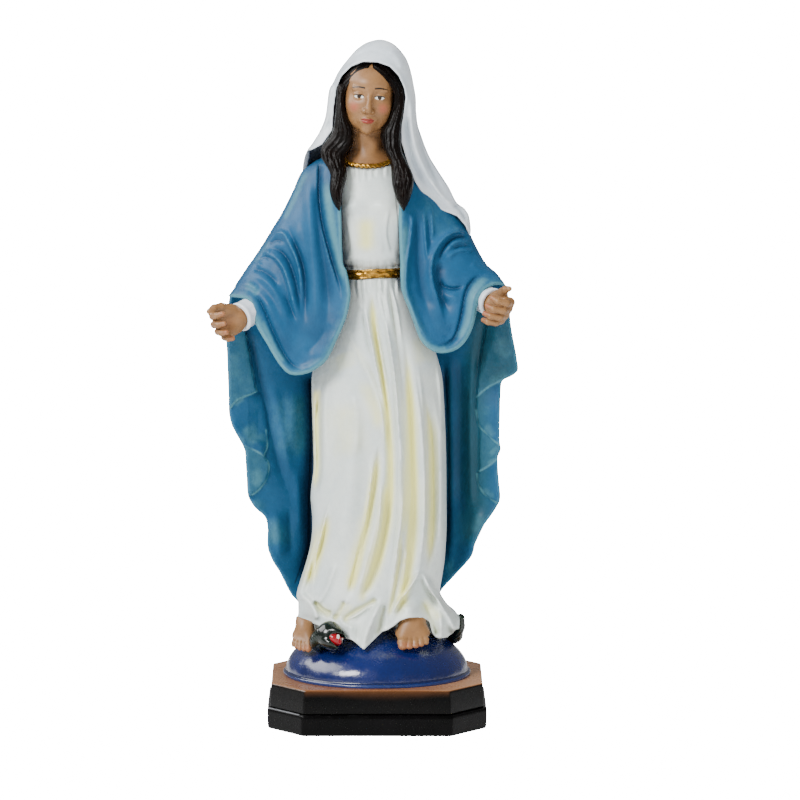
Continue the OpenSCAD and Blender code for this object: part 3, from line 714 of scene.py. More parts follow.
def plinth():
    lo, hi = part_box("plinth_base")
    W, D = (hi.x - lo.x) * 1000 + 0.6, (hi.y - lo.y) * 1000
    z0, z1 = lo.z * 1000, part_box("plinth_cap")[1].z * 1000
    st = hi.z * 1000
    cx, cy = 11.5, 15.0
    lo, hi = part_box("felt_pad")
    fw, fd, ft = (hi.x - lo.x) * 1000, (hi.y - lo.y) * 1000, hi.z * 1000
    V, Q = lathe(stack([(0, 0.6, 1.2), (0, 0.25, 1.2), (0.12, 0.04, 1.2), (0.5, 0, 1.2), (ft - 0.15, 0, 1.2), (ft, 0.3, 1.2), (ft, 2, 1.2)], fw, fd, 10, 13.5))
    add("felt_pad_piece", V, Q, "felt_pad", PAINT["felt"])
    prof = [(z0, 5, 1.0), (z0, 2.9, 1.0), (0.25, 2.7, 1.0), (0.2, 1.0, 1.0), (0.26, 0.6, 1.1), (0.5, 0.3, 1.2), (0.9, 0.14, 1.2), (1.8, 0.06, 1.2),
            (3.6, 0.0, 1.2), (5.6, 0.0, 1.2), (st - 0.75, 0.03, 1.2), (st - 0.4, 0.14, 1.2), (st - 0.16, 0.36, 1.2), (st - 0.04, 0.62, 1.2), (st, 0.95, 1.2), (st, 1.6, 1.1), (st, 3.5, 1.1)]
    V, Q = lathe(stack(prof, W, D, cx, cy))
    V = wobble(V, 0.05, 9, 1)
    at, N = relief_attrs(V, Q, 2, 8)
    z = V[:, 2]
    at["worn"] = (0.35 + 0.65 * (V[:, 0] < -25)) * np.exp(-((z - st + 0.12) / 0.22) ** 2) * np.clip(-N[:, 1] * 3 + 0.3, 0, 1)
    add("plinth_base_piece", V, Q, "plinth_base", PAINT["plinth"], at)
    prof = [(st - 0.15, 4, 1.0), (st - 0.1, 1.6, 1.0), (st + 0.1, 0.95, 1.0), (st + 0.5, 0.86, 1.0), (st + 1.5, 0.84, 1.0), (st + 2.6, 0.88, 1.0), (st + 3.7, 0.94, 1.0), (st + 4.7, 1.02, 1.0),
            (st + 5.6, 1.1, 1.0), (z1 - 1.5, 1.18, 1.0), (z1 - 1.05, 1.22, 1.0), (z1 - 0.6, 1.27, 1.0), (z1 - 0.3, 1.36, 1.0), (z1 - 0.1, 1.54, 1.0), (z1 - 0.02, 1.74, 1.0), (z1, 2.1, 1.0),
            (z1, 3.4, 1.0), (z1, 4.6, 1.0), (z1 - 0.02, 6.5, 1.0), (z1 - 0.03, 9, 1.0), (z1 - 0.03, 13, 1.0)]
    V, Q = lathe(stack(prof, W, D, cx, cy))
    V = wobble(V, 0.06, 8, 2)
    at, N = relief_attrs(V, Q, 2, 8)
    z = V[:, 2]
    facing = np.clip(-N[:, 1] * 3 - 1.6, 0, 1) * np.clip((24.5 - np.abs(V[:, 0])) / 2, 0, 1)
    at["brown"] = np.maximum(np.clip((z - z1 + 0.5) / 0.4, 0, 1), np.clip(facing + 0.25, 0, 1) * 0.5 * np.clip(1 - (z1 - z) / (4.2 + 0.8 * np.sin(V[:, 0] * 0.15 + 1.2)), 0, 1) ** 1.3)
    flank = np.clip((-N[:, 1] - 0.2) * 3, 0, 1) * np.clip((0.9 + N[:, 1]) * 8, 0, 1)
    at["fine"] = at["fine"] * np.clip((z - st - 2) / 1, 0, 1)
    at["worn"] = 0.8 * flank * np.exp(-((z - z1 + 0.35) / 0.28) ** 2) * (V[:, 0] < 0)
    at["amber"] = np.clip((z - z1 + 0.5) / 0.5, 0, 1) * np.clip(0.25 + (np.abs(V[:, 0] + 6) / 40) ** 2, 0, 1)
    add("plinth_cap_piece", V, Q, "plinth_cap", PAINT["cap"], at)


def globe():
    lo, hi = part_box("globe")
    z0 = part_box("plinth_cap")[1].z * 1000
    R, top = (hi.x - lo.x) * 500, hi.z * 1000
    n = 300
    prof = [(z0 - 0.2, R - 2), (z0 - 0.2, R + 0.6), (z0 + 0.25, R + 0.86), (z0 + 0.7, R + 0.9), (z0 + 1.0, R + 0.8), (z0 + 1.2, R + 0.5), (z0 + 1.3, R + 0.15), (z0 + 1.5, R - 0.05)]
    for i in range(1, 60):
        a = math.radians(88.5 * i / 59)
        prof.append((z0 + 1.5 + (top - z0 - 1.5) * math.sin(a), (R - 0.95) * math.cos(a) + 0.9 * math.cos(a) ** 5))
    t = np.linspace(0, 2 * math.pi, n, endpoint=False)
    V, Q = lathe([np.column_stack([r * np.cos(t), r * np.sin(t), np.full(n, z)]) for z, r in prof])
    V = wobble(V, 0.16, 7, 3)
    V = wobble(V, 0.06, 1.6, 5)
    at, N = relief_attrs(V, Q, 3, 10)
    at["rim"] = np.clip(1 - np.abs(V[:, 2] - z0 - 1.4) / 0.8, 0, 1) * 0.9
    add("globe_piece", V, Q, "globe", PAINT["globe"], at)


def dome(x, y):
    z0, top = 15.2, 31.7
    return z0 + (top - z0) * np.sqrt(np.maximum(0, 1 - (x * x + y * y) / 900.0))


# ---------------------------------------------------------------- gown
SKIRT = fine_table([(22, -27.5, 24.6, -21.5, 17), (29, -27, 25.8, -21.2, 16.4), (33, -26.2, 26.9, -20.8, 16.1), (35.8, -26, 25.6, -20.4, 15.9), (38.4, -26, 22.6, -20.1, 15.8), (42.4, -25.6, 20.5, -19.6, 15.6), (47, -24.2, 21.2, -19, 15.4),
                    (52.3, -22.4, 22, -18.6, 15.2), (58.8, -21.2, 22.5, -18.2, 15), (66.4, -21.2, 22.7, -18, 15), (73.7, -21.7, 22.6, -17.8, 14.8), (85.2, -20.8, 22.5, -17.6, 14.6),
                    (92.4, -21, 22.4, -17.4, 14.4), (112.2, -21.4, 21.5, -17, 13.8), (120.4, -19.5, 19.6, -16.6, 13.2), (130, -16.4, 16.2, -16, 12.6), (140, -13.8, 13, -15, 11.6), (146, -11.6, 10.4, -14.2, 10.8), (150, -11, 9.8, -13.8, 10.6)])
BODICE = fine_table([(146, -11.4, 10.2, -13.4, 10.6), (149, -11.8, 10.6, -13.9, 10.8), (155, -12.8, 11.4, -15.2, 11), (162, -13.6, 12.2, -16.4, 11.2), (168, -14.2, 12.8, -16.6, 11.2), (173, -14.8, 13.2, -15.6, 11), (178, -15, 12.4, -13.8, 10.2),
                     (181.5, -13.6, 10.0, -12.2, 8.4), (184, -11.4, 7.4, -11, 6), (185.6, -9.6, 4.6, -10, 3.6)])
HEM = [(296, 617.5), (303, 620), (309, 622), (315, 624.5), (322, 627.5), (332, 632), (342, 638), (352, 640), (358, 645), (364, 650), (369, 645), (374, 640), (382, 632), (388, 630), (394, 626), (400, 621), (408, 618), (417, 617.5), (425, 619),
       (429.5, 622), (431.5, 632), (435, 637), (439.5, 639), (447, 637.5), (453, 633), (457, 628), (459, 614)]


def gown_maps():
    D, wash = zeros(), zeros()

    def fold(pts, w, h, kind="ridge", ends=(0.2, 0.25), yellow=0.0):
        stroke(D, pts, w, h, kind, ends)
        if yellow:
            ww = w if isinstance(w, tuple) else (w, w)
            stroke(wash, pts, (ww[0] * 1.25, ww[1] * 1.5), yellow, "ridge", ends, "max")
    # knee and thigh under the cloth
    stroke(D, [(345, 400), (350, 440), (350, 480), (343, 530), (334, 575)], (10, 15), 1.7, "ridge", (0.4, 0.3))
    stroke(D, [(405, 330), (412, 380), (420, 440), (424, 520)], (12, 16), 0.8, "ridge", (0.4, 0.4))
    # long folds from the belt to the hem
    fold([(371, 284), (375, 330), (383, 380), (389, 430), (391, 480), (386, 530), (376, 572), (366, 598)], (2.6, 4.2), -1.5, "left", (0.12, 0.15), 0.85)
    fold([(348, 330), (358, 352), (369, 372), (378, 395), (384, 418)], 4.0, -1.0, "valley", (0.3, 0.3), 0.25)
    fold([(363, 300), (372, 345), (381, 395), (386, 440)], 3.2, 0.7, "ridge")
    fold([(389, 284), (394, 330), (400, 375), (403, 420)], 2.6, -0.9, "valley", (0.1, 0.4), 0.15)
    fold([(383, 284), (388, 330), (395, 380), (399, 430), (400, 480), (397, 540), (389, 595)], (2.5, 5.0), 1.25, "right", (0.2, 0.2))
    fold([(404, 330), (409, 385), (412, 440), (413, 500), (409, 560), (400, 605), (392, 624)], (3.4, 4.6), -1.6, "valley", (0.25, 0.1), 0.95)
    fold([(414, 370), (421, 420), (424, 480), (423, 535), (418, 580)], 4.2, 1.2, "left", (0.3, 0.25))
    fold([(422, 385), (430, 430), (432, 485), (431, 535), (427, 578)], 3.4, -1.25, "valley", (0.25, 0.2), 0.8)
    fold([(434, 385), (440, 440), (441, 500), (439, 560)], 3.6, 0.9, "ridge", (0.3, 0.2))
    fold([(380, 440), (374, 480), (367, 520), (357, 560), (347, 598)], (3.6, 4.2), -1.35, "right", (0.25, 0.12), 0.9)
    fold([(389, 470), (387, 505), (381, 545), (371, 576), (361, 602)], 3.8, -1.3, "valley", (0.2, 0.15), 0.85)
    fold([(382, 480), (377, 520), (367, 560), (355, 598)], 4.0, 1.1, "ridge", (0.25, 0.15))
    fold([(402, 520), (399, 560), (393, 595), (388, 620)], 2.6, -1.0, "valley", (0.3, 0.1), 0.6)
    fold([(408, 540), (404, 580), (396, 612)], 3.0, 0.9, "ridge")
    fold([(329, 505), (322, 540), (313, 568), (306, 590)], 4.2, -0.6, "right", (0.3, 0.2), 0.85)
    fold([(322, 520), (312, 552), (302, 585), (298, 602)], 4.0, 1.0, "ridge", (0.3, 0.1))
    fold([(337, 560), (326, 590), (317, 604)], 3.4, 0.7, "ridge", (0.3, 0.1))
    fold([(319, 385), (317, 420), (318, 460), (315, 495)], 2.6, -0.9, "valley", (0.2, 0.2), 0.55)
    fold([(327, 372), (325, 420), (326, 470)], 3.5, 0.6, "ridge", (0.3, 0.4))
    # gathers under the belt
    for x, l, h in ((355, 22, 0.4), (361, 34, 0.5), (367, 20, 0.35), (377, 30, 0.5), (383, 22, 0.35), (394, 26, 0.4)):
        stroke(D, [(x, 281), (x + 1, 281 + l * 0.5), (x + 2.5, 281 + l)], 1.5, -h, "valley", (0.0, 0.7))
        stroke(D, [(x + 3, 281), (x + 4, 281 + l * 0.6)], 1.8, h * 0.7, "ridge", (0.0, 0.7))
    # hem: folds that spread over the feet and the globe
    fold([(313, 600), (322, 609), (334, 614)], 3.0, -1.3, "valley", (0.2, 0.2), 0.5)
    fold([(300, 594), (312, 606), (316, 616)], 3.6, 1.0, "ridge", (0.2, 0.0))
    fold([(346, 600), (340, 612), (333, 620)], 3.0, -1.2, "valley", (0.2, 0.1), 0.5)
    fold([(379, 598), (366, 606), (352, 614), (342, 622)], 3.2, -1.3, "valley", (0.15, 0.1), 0.5)
    fold([(384, 598), (374, 616), (366, 634), (363, 648)], (4, 6), 2.0, "ridge", (0.3, 0.0))
    fold([(352, 622), (350, 632), (352, 640)], 5, 1.1, "ridge", (0.3, 0.0))
    fold([(385, 604), (381, 618), (379, 632)], 3.0, -1.4, "valley", (0.2, 0.0), 0.3)
    fold([(423, 570), (409, 588), (396, 606), (391, 616)], 2.6, 1.0, "ridge", (0.2, 0.2))
    fold([(423, 572), (431, 588), (446, 611), (454, 628)], (3, 4.5), 1.5, "ridge", (0.25, 0.0))
    fold([(420, 598), (428, 612), (436, 632)], 3.2, -1.3, "valley", (0.3, 0.0), 0.3)
    fold([(436, 600), (441, 618), (441, 636)], 4, 1.2, "ridge", (0.3, 0.0))
    fold([(410, 600), (410, 618)], 10, 1.6, "ridge", (0.5, 0.0))
    # crisp ridges along the folds
    for pts, w, h in (([(364, 303), (369, 330), (374.5, 358), (381, 388), (387.5, 420), (391, 452)], 1.7, 0.75), ([(345, 330), (357, 350), (368, 371), (377, 394), (383, 422), (385.5, 455)], 1.7, 0.6),
                      ([(376.5, 285), (382, 306), (388, 336), (392.5, 364), (396, 396), (397.5, 430), (397, 462)], 1.6, 0.7), ([(384, 284), (391, 320), (396.5, 352), (400.5, 386), (402, 418)], 1.5, 0.6),
                      ([(390, 283), (397, 310), (402, 345)], 1.4, 0.4), ([(418, 362), (422.5, 402), (425.5, 442), (426, 482), (425, 528), (421, 566)], 1.9, 0.75), ([(437, 358), (441, 402), (442, 452)], 1.9, 0.5),
                      ([(373, 452), (371, 482), (366, 520), (358, 560), (350, 590)], 1.7, 0.75), ([(381.5, 484), (380, 520), (375.5, 546), (368.5, 571), (359, 598)], 1.8, 0.8),
                      ([(404.5, 476), (401.5, 520), (396.5, 560), (391, 600), (387, 625)], 1.9, 0.75), ([(421, 566), (412, 584), (399, 602), (391, 614)], 1.6, 0.6), ([(421.5, 570), (429, 589), (439, 602), (451, 621)], 1.7, 0.6),
                      ([(330.5, 498), (322.5, 530), (315.5, 560), (310.5, 592)], 1.6, 0.7), ([(379, 600), (367, 607.5), (354, 616), (340, 621.5)], 1.6, 0.8), ([(313, 597), (325, 608), (334, 612)], 1.5, 0.5),
                      ([(349, 598), (343, 609), (335, 617)], 1.4, 0.45), ([(352, 392), (357, 420), (356, 458)], 5, 0.6)):
        stroke(D, pts, w, h, "ridge", (0.25, 0.25))
    for pts, w, h in (([(361, 308), (366, 336), (371, 360)], 1.8, -0.6), ([(373, 300), (379, 330), (385, 362), (391, 398)], 1.6, -0.6), ([(380, 290), (386, 318), (391, 345)], 1.5, -0.5),
                      ([(321, 380), (319, 430), (319.5, 470), (316, 497)], 1.5, -0.8), ([(316, 601), (326, 613), (338, 619)], 2.2, -0.4), ([(376, 606), (364, 614), (352, 622)], 2.4, -0.4)):
        stroke(D, pts, w, h, "valley", (0.25, 0.25))
    for pts, w, a in (([(338, 392), (345, 430), (346, 470)], 22, 0.34), ([(356, 372), (372, 402), (384, 440)], 9, 0.5), ([(369, 498), (364, 530), (354, 560), (346, 584)], 8, 0.6), ([(388, 470), (385, 518), (379, 548), (370, 578), (360, 604)], 9, 0.75),
                      ([(405, 372), (410, 402), (411, 440), (409, 490), (405, 530), (402, 562)], 8, 0.7), ([(427, 390), (431, 432), (431, 500), (427, 545)], 8, 0.55), ([(322, 515), (309, 560), (302, 596)], 8, 0.6),
                      ([(318, 384), (318, 430), (317, 470)], 5, 0.6), ([(378, 380), (388, 430), (390, 460)], 8, 0.42), ([(372, 560), (364, 590), (360, 610)], 6, 0.6), ([(418, 600), (432, 611), (443, 624)], 7, 0.45), ([(312, 602), (324, 611), (336, 617)], 6, 0.5),
                      ([(352, 600), (346, 612), (338, 622)], 6, 0.4), ([(340, 350), (350, 372)], 16, 0.3), ([(420, 330), (424, 370)], 14, 0.3)):
        stroke(wash, pts, w, a, "ridge", (0.3, 0.3), "max")
    # the gown's long sides, undercut where the mantle starts
    stroke(wash, [(319, 386), (317, 420), (318, 460)], 3, 0.6, "ridge", (0.1, 0.2), "max")
    return D, wash


def gown():
    D, wash = gown_maps()
    D = D * 1.65
    D = np.where(D < -1.6, -1.6 + 0.35 * (D + 1.6), D)
    strip = zeros()
    stroke(strip, [(315, 379), (314.5, 430), (315, 470), (312.5, 500)], 4.5, 0.5, "ridge", (0.02, 0.2))
    stroke(wash, [(316, 385), (316, 430), (316, 470), (314, 496)], 5, 0.8, "ridge", (0.1, 0.2), "max")
    stroke(D, HEM, 2.2, 0.5, "ridge", (0, 0))
    hem = region([(280, 612)] + HEM + [(470, 612), (470, 250), (280, 250)], 1)
    edge = dist_map([(311, 377), (311.5, 400), (313, 440), (312, 470), (309.8, 495), (312.5, 508), (312, 535), (305, 560), (296, 586)])
    line = np.maximum(0, 1 - edge / 0.75)
    edge2 = dist_map([(443.5, 378), (446, 438), (447, 517), (445, 560), (441, 590)])
    line = np.maximum(line, 0.6 * np.maximum(0, 1 - edge2 / 0.6))

    def field(X, Y, Z):
        U, Vv = front(X, Y, Z)
        f = tube(X, Y, Z, SKIRT, 2.15)
        w = np.clip((1.5 - Y) / 4, 0, 1)
        f = f - sample(D, U, Vv) * w
        # quiet folds round the back and sides
        th = np.arctan2(Y, X)
        f = f - 0.45 * (1 - w) * np.cos(13 * th + 0.02 * Z) * np.clip((130 - Z) / 60, 0, 1)
        low = sample(px(hem), U, Vv)
        g = np.clip((Y + 6) / 3, 0, 1)
        ground = 27.2 + 0.9 * np.cos(5 * th + 1.0) + 2.0 * np.clip((X - 20) / 5, 0, 1) - Z
        cut = low * (1 - g) + ground * g
        f = smax(f, cut, 0.8)
        f = smax(f, dome(X, Y) - 0.25 - Z, 0.3)
        return smax(f, Z - 148.8, 0.3)
    V, Q = biggest(*extract((-31, -27, 20), (31, 20, 150), 0.36, field))
    at, N, u, v, face = masks(V, Q, 4, 30, 0.42, dark=strip, wash=wash, line=line)
    under = np.clip((-N[:, 2] - 0.3) * 2, 0, 1)
    at["dark"] = np.maximum(at["dark"] * 0.9, under)
    add("gown_skirt_piece", V, Q, "gown_skirt", PAINT["gown"], at)


def bodice():
    D, wash = zeros(), zeros()
    for x, l in ((354, 12), (360.5, 16), (367.5, 17), (374, 12), (383, 13)):
        stroke(D, [(x, 167), (x + 0.4, 168 + l)], 1.4, -0.5, "valley", (0.0, 0.6))
        stroke(D, [(x + 3, 168), (x + 3, 168 + l * 0.8)], 2.0, 0.35, "ridge", (0.0, 0.6))
    stroke(D, [(349, 196), (352, 206), (353, 216)], 9, 1.0, "ridge", (0.5, 0.5))
    stroke(D, [(385, 196), (385, 206), (384, 216)], 9, 1.0, "ridge", (0.5, 0.5))
    stroke(D, [(368, 200), (367, 225), (367, 255)], 7, -0.7, "valley", (0.3, 0.3))
    stroke(D, [(390, 205), (386, 232), (391, 256)], 2.6, 0.6, "left", (0.3, 0.3))
    stroke(D, [(347, 220), (351, 240), (352, 258)], 3, 0.4, "right", (0.3, 0.3))
    stroke(D, [(379, 222), (381, 240), (380, 258)], 3, 0.35, "ridge", (0.3, 0.3))
    stroke(D, [(343, 257), (370, 260), (400, 256)], 5, 0.6, "ridge", (0.1, 0.1))
    stroke(D, [(343, 266), (370, 269), (400, 265)], 2.6, -0.9, "valley", (0.0, 0.0))
    for x in (350, 356, 362, 371, 378, 386, 393):
        stroke(D, [(x, 258), (x + 0.8, 269)], 1.3, -0.45, "valley", (0.5, 0.0))
    stroke(wash, [(366, 208), (366, 235), (366, 258)], 10, 0.8, "ridge", (0.4, 0.3), "max")
    line = np.maximum(0, 1 - dist_map([(341, 172), (340.8, 189), (341.8, 224), (343, 265), (346, 269)]) / 0.7)
    opening = region([(341, 155), (346, 162.2), (353, 164.6), (361, 165.8), (370, 166.1), (379, 165.4), (386, 163.2), (392, 159.6), (395.6, 154), (395, 130), (341, 130)], 1)

    def region_neck(U, Vv):
        return -sample(px(opening), U, Vv)
    line = np.maximum(line, np.maximum(0, 1 - dist_map([(392, 175), (395, 193), (398, 224), (400, 265)]) / 0.6))
    line = np.maximum(line, 0.7 * np.maximum(0, 1 - dist_map([(347, 268.6), (372, 268.6), (399, 266.6)]) / 0.5))

    def field(X, Y, Z):
        U, Vv = front(X, Y, Z)
        f = tube(X, Y, Z, BODICE, 2.3) - sample(D, U, Vv) * np.clip(-Y / 4, 0, 1)
        neck = region_neck(U, Vv)
        f = smax(f, np.minimum(neck, -5.0 - Y), 0.4)
        f = smax(f, Z - 185.5, 0.8)
        return smax(f, 148.6 - Z, 0.4)
    V, Q = biggest(*extract((-18, -20, 146), (16, 14, 188), 0.32, field))
    at, N, u, v, face = masks(V, Q, 4, 30, 0.5, wash=wash, line=line)
    at["dark"] = np.maximum(at["dark"], 0.22)
    add("gown_bodice_piece", V, Q, "gown_bodice", PAINT["gown"], at)


# ---------------------------------------------------------------- mantle
BACK = fine_table([(36, -24, 20, 8, 18.6), (40, -26.6, 22.5, 7.6, 18.8), (48, -33, 27.5, 7.4, 19.2), (56, -36.5, 32, 7, 19.4), (66, -38.5, 36.5, 6.6, 19.4), (72, -41.5, 39.8, 6.4, 19.3), (82, -43, 39.6, 6.2, 19),
                   (92, -45, 40, 6, 18.8), (101, -49, 41.5, 5.6, 18.5), (113, -49.6, 46.4, 5.2, 18.1), (122, -49.6, 45.5, 4.6, 17.7), (132, -48, 43, 3.8, 17.3), (140, -45, 41, 3.2, 16.9),
                   (148, -41, 37, 2.8, 16.4), (156, -36, 33, 2.8, 16), (164, -31.5, 29, 2.8, 15.6), (172, -27.4, 24.5, 3, 15.2), (180, -24, 20, 3.4, 14.6), (186, -19, 15, 4, 13), (190, -15, 11, 4, 11)])
LEFT_EDGE = [(232, 292), (228, 305), (226, 333), (227, 355), (227.8, 378), (228.5, 395), (228.8, 412), (232, 426), (239.7, 440), (244.6, 450), (245.5, 462), (246.6, 479), (247.2, 491), (249, 499), (255.5, 508.5), (262, 514),
             (265.6, 519), (267.3, 530), (267, 541), (268, 550), (273, 562), (280, 573), (289, 591), (296, 600)]
RIGHT_EDGE = [(505, 284), (509, 300), (510.5, 321), (513, 337), (515.4, 349), (517.5, 362), (518, 371), (510, 377), (502.6, 380.5), (500.8, 390), (500, 415), (499.6, 440), (501, 448), (499.5, 453), (497.7, 458),
              (498.5, 475), (500, 490), (500.4, 498), (498, 505), (491, 516), (485, 524), (479, 536), (475, 545), (472, 556), (461, 569), (447, 584), (442, 590)]


def back_y(x, z):
    xl, xr, ys, yb = (look(BACK, c, z) for c in (1, 2, 3, 4))
    t = np.clip(np.abs(x - (xl + xr) / 2) / np.maximum((xr - xl) / 2, 1), 0, 1.1)
    return yb + (ys - yb) * t * t


def plate(D, poly, h, edge=1.0):
    """A flap of cloth lying on top: raises the inside of a polygon by h with a crisp edge."""
    D += h * np.clip(0.5 - region(poly, 1) / edge, 0, 1)


def mantle_back():
    D, pale, teal, dark, line = zeros(), zeros(), zeros(), zeros(), zeros()

    def fold(pts, w, h, kind="ridge", ends=(0.2, 0.25), **col):
        stroke(D, pts, w, h, kind, ends)
        ww = w if isinstance(w, tuple) else (w, w)
        for k, a in col.items():
            stroke({"pale": pale, "teal": teal, "dark": dark}[k], pts, (ww[0] * 1.25, ww[1] * 1.25), a, "ridge", ends, "max")

    def edges(*lines):
        for pts in lines:
            q = dist_map(pts, 12)
            np.maximum(pale, (0.68 + 0.22 * np.sin(GV * 0.31 + GU * 0.17)) * np.exp(-(q / 0.40) ** 2), out=pale)

    def shade(pts, m, w, a):
        q = np.exp(-(dist_map(pts, 20) / (w * 0.324)) ** 2)
        np.maximum(m, a * q, out=m)

    def tint(m, poly, a, soft=3.0):
        np.maximum(m, a * np.clip(0.5 - region(poly, 1) / soft, 0, 1), out=m)
    # left panel: the front edge of the mantle turns over in three flaps, each over the next
    c1 = [(244, 322), (246.5, 335), (251, 362), (256.6, 391.5)]
    b1 = [(256.6, 391.5), (250, 394.5), (241, 398), (235, 402), (229, 410)]
    plate(D, c1 + b1[1:] + [(215, 418), (215, 320)], 2.4, 1.2)
    c2 = [(261, 394), (266, 412), (268.3, 432), (267.3, 446), (263.8, 456)]
    b2 = [(263.8, 456), (257, 451.5), (250, 448.2), (242, 445)]
    soft = zeros()
    plate(soft, c2 + b2[1:] + [(222, 438), (222, 412)] + b1[::-1], 1.7, 1.2)
    D += soft * np.clip((262 - GU) / 14 + np.clip((GV - 438) / 8, 0, 1), 0.25, 1)
    c3 = [(263.8, 456), (268.4, 463), (268.6, 472), (266, 480), (259, 489.5), (252, 495), (246, 500)]
    plate(D, c3 + [(230, 505), (230, 442)] + b2[::-1], 0.9, 1.2)
    edges(c1[1:], b1, b2, c3[:6], [(266, 430), (267.3, 446), (263.8, 456)])
    fold([(228, 425), (240, 432), (252, 440)], 6, 0.7, "ridge", (0.3, 0.3))
    fold([(270, 506), (276, 520), (279, 540), (281, 562)], 6, 1.3, "ridge", (0.3, 0.3))
    fold([(264, 512), (271, 530), (274, 552)], 4, -0.7, "valley", (0.3, 0.3))
    fold([(288, 505), (290, 530), (291, 560)], 4.5, -1.0, "valley", (0.3, 0.3), dark=0.25)
    fold([(313, 372), (312, 410), (312, 450), (310.5, 500), (310, 545), (302, 590)], 7.0, -2.0, "valley", (0.05, 0.1), dark=1.0)
    stroke(line, [(311.5, 376), (311, 410), (311.5, 450), (309.5, 500), (309, 545), (302, 582)], 2.6, 1.0, "ridge", (0.05, 0.1), "max")
    shade(c1 + c2, dark, 7, 0.4)
    shade(c3[:6], dark, 5, 0.3)
    tint(pale, c1 + b1[1:] + [(215, 418), (215, 320)], 0.30)
    tint(pale, c2 + b2[1:] + [(222, 438), (222, 412)] + b1[::-1], 0.18)
    tint(pale, c3 + [(230, 505), (230, 442)] + b2[::-1], 0.30)
    tint(teal, c1 + b1[1:] + [(215, 418), (215, 320)], 0.5)
    tint(teal, c3 + [(230, 505), (230, 442)] + b2[::-1], 0.5)
    fold([(294, 385), (292, 420), (290, 455)], 8, 1.0, "ridge", (0.3, 0.3))
    fold([(250, 332), (258, 370), (266, 405), (273, 440), (282, 475), (294, 508)], (4, 6), -1.3, "valley", (0.1, 0.3), dark=0.4)
    fold([(272, 380), (279, 415), (284, 445), (292, 480)], 5, 0.9, "ridge", (0.3, 0.3))
    fold([(296, 465), (299, 500), (300, 540)], 5, 0.8, "ridge", (0.3, 0.3))
    for pts, w, a in (([(232, 340), (233, 365), (237, 392)], 13, 0.42), ([(247, 396), (238, 402), (232, 408)], 4, 0.5), ([(240, 422), (252, 436), (258, 450)], 12, 0.46), ([(233, 434), (248, 444)], 5, 0.5),
                      ([(254, 462), (257, 478), (250, 492)], 11, 0.5), ([(266, 512), (273, 530), (277, 552)], 13, 0.45), ([(250, 500), (262, 510)], 8, 0.35), ([(280, 570), (292, 590)], 8, 0.3),
                      ([(288, 374), (291, 420), (292, 478)], 26, 0.38), ([(282, 510), (290, 560)], 12, 0.25)):
        stroke(pale, pts, w, a, "ridge", (0.35, 0.35), "max")
    for pts, w, a in (([(298, 380), (299, 420), (298, 470)], 8, 0.7), ([(275, 520), (282, 550)], 14, 0.5), ([(250, 500), (268, 510)], 8, 0.5), ([(238, 340), (244, 385)], 12, 0.5), ([(262, 430), (264, 446)], 5, 0.6), ([(262, 466), (260, 486)], 6, 0.6)):
        stroke(teal, pts, w, a, "ridge", (0.3, 0.3), "max")
    # right panel: four flaps
    r1 = [(489, 312), (486, 330), (482, 350), (478.5, 375), (476.8, 397)]
    s1 = [(476.8, 397), (482, 392), (490, 386), (500, 381), (508, 377.5), (518.5, 371)]
    wide = zeros()
    plate(wide, r1 + s1[1:] + [(530, 366), (530, 310)], 2.4, 1.2)
    D += wide * np.clip((GV - 330) / 50 + (GU - 480) / 16, 0.15, 1)
    r2 = [(476.8, 397), (476.2, 410), (478.4, 424), (482.5, 430)]
    s2 = [(482.5, 430), (489, 436), (494.5, 441), (500.5, 446)]
    plate(D, r2 + s2[1:] + [(512, 446), (512, 376)] + s1[::-1], 1.8, 1.2)
    r3 = [(480, 428), (479.5, 445), (479.5, 460), (479.5, 471)]
    s3 = [(479.5, 471), (484, 468.5), (491, 464), (499, 457)]
    plate(D, r3 + s3[1:] + [(512, 452), (512, 440)] + s2[::-1], 1.3, 1.6)
    r4 = [(479.5, 471), (477, 474), (477.6, 482), (482.5, 491.5), (489, 498), (498.5, 503.5)]
    plate(D, r4 + [(512, 503), (512, 452)] + s3[::-1], 0.8, 1.2)
    edges(s1, r2[1:], s2, s3, r4[1:])
    fold([(451, 352), (450, 400), (450, 470), (451, 540), (448, 575)], 5, 0.8, "ridge", (0.1, 0.1))
    fold([(461, 352), (461, 400), (460.5, 450), (461, 500), (465, 545)], 8, -1.2, "valley", (0.1, 0.25), dark=0.42)
    fold([(444, 360), (446, 400), (447.5, 450), (447.5, 520), (445, 570)], 3.4, -1.6, "valley", (0.1, 0.2), dark=0.75)
    fold([(472.5, 345), (470.5, 395), (470, 440), (470.5, 490), (473, 520)], 4.0, 1.1, "ridge", (0.2, 0.2))
    fold([(484, 318), (479.5, 350), (476, 380)], 3, -1.0, "valley")
    shade([(484, 318), (480, 350), (476, 385), (474, 410), (475, 440), (476, 460), (475, 480), (478, 500), (474, 530)], teal, 18, 0.9)
    shade([(482, 318), (478, 350), (474, 385), (472, 410), (473.5, 440), (474, 460), (473, 480), (477, 500)], dark, 10, 0.62)
    tint(pale, r1 + s1[1:] + [(530, 366), (530, 310)], 0.22)
    tint(teal, r1 + s1[1:] + [(530, 366), (530, 310)], 0.75)
    tint(pale, r2 + s2[1:] + [(512, 446), (512, 376)] + s1[::-1], 0.12)
    tint(pale, r3 + s3[1:] + [(512, 452), (512, 440)] + s2[::-1], 0.26)
    tint(teal, r3 + s3[1:] + [(512, 452), (512, 440)] + s2[::-1], 0.7)
    tint(pale, r4 + [(512, 503), (512, 452)] + s3[::-1], 0.14)
    fold([(478, 503), (476, 520), (470, 542), (460, 565)], 5, 0.8, "ridge", (0.2, 0.2))
    fold([(492, 335), (497, 350), (506, 364)], 7, 0.7, "ridge", (0.3, 0.3))
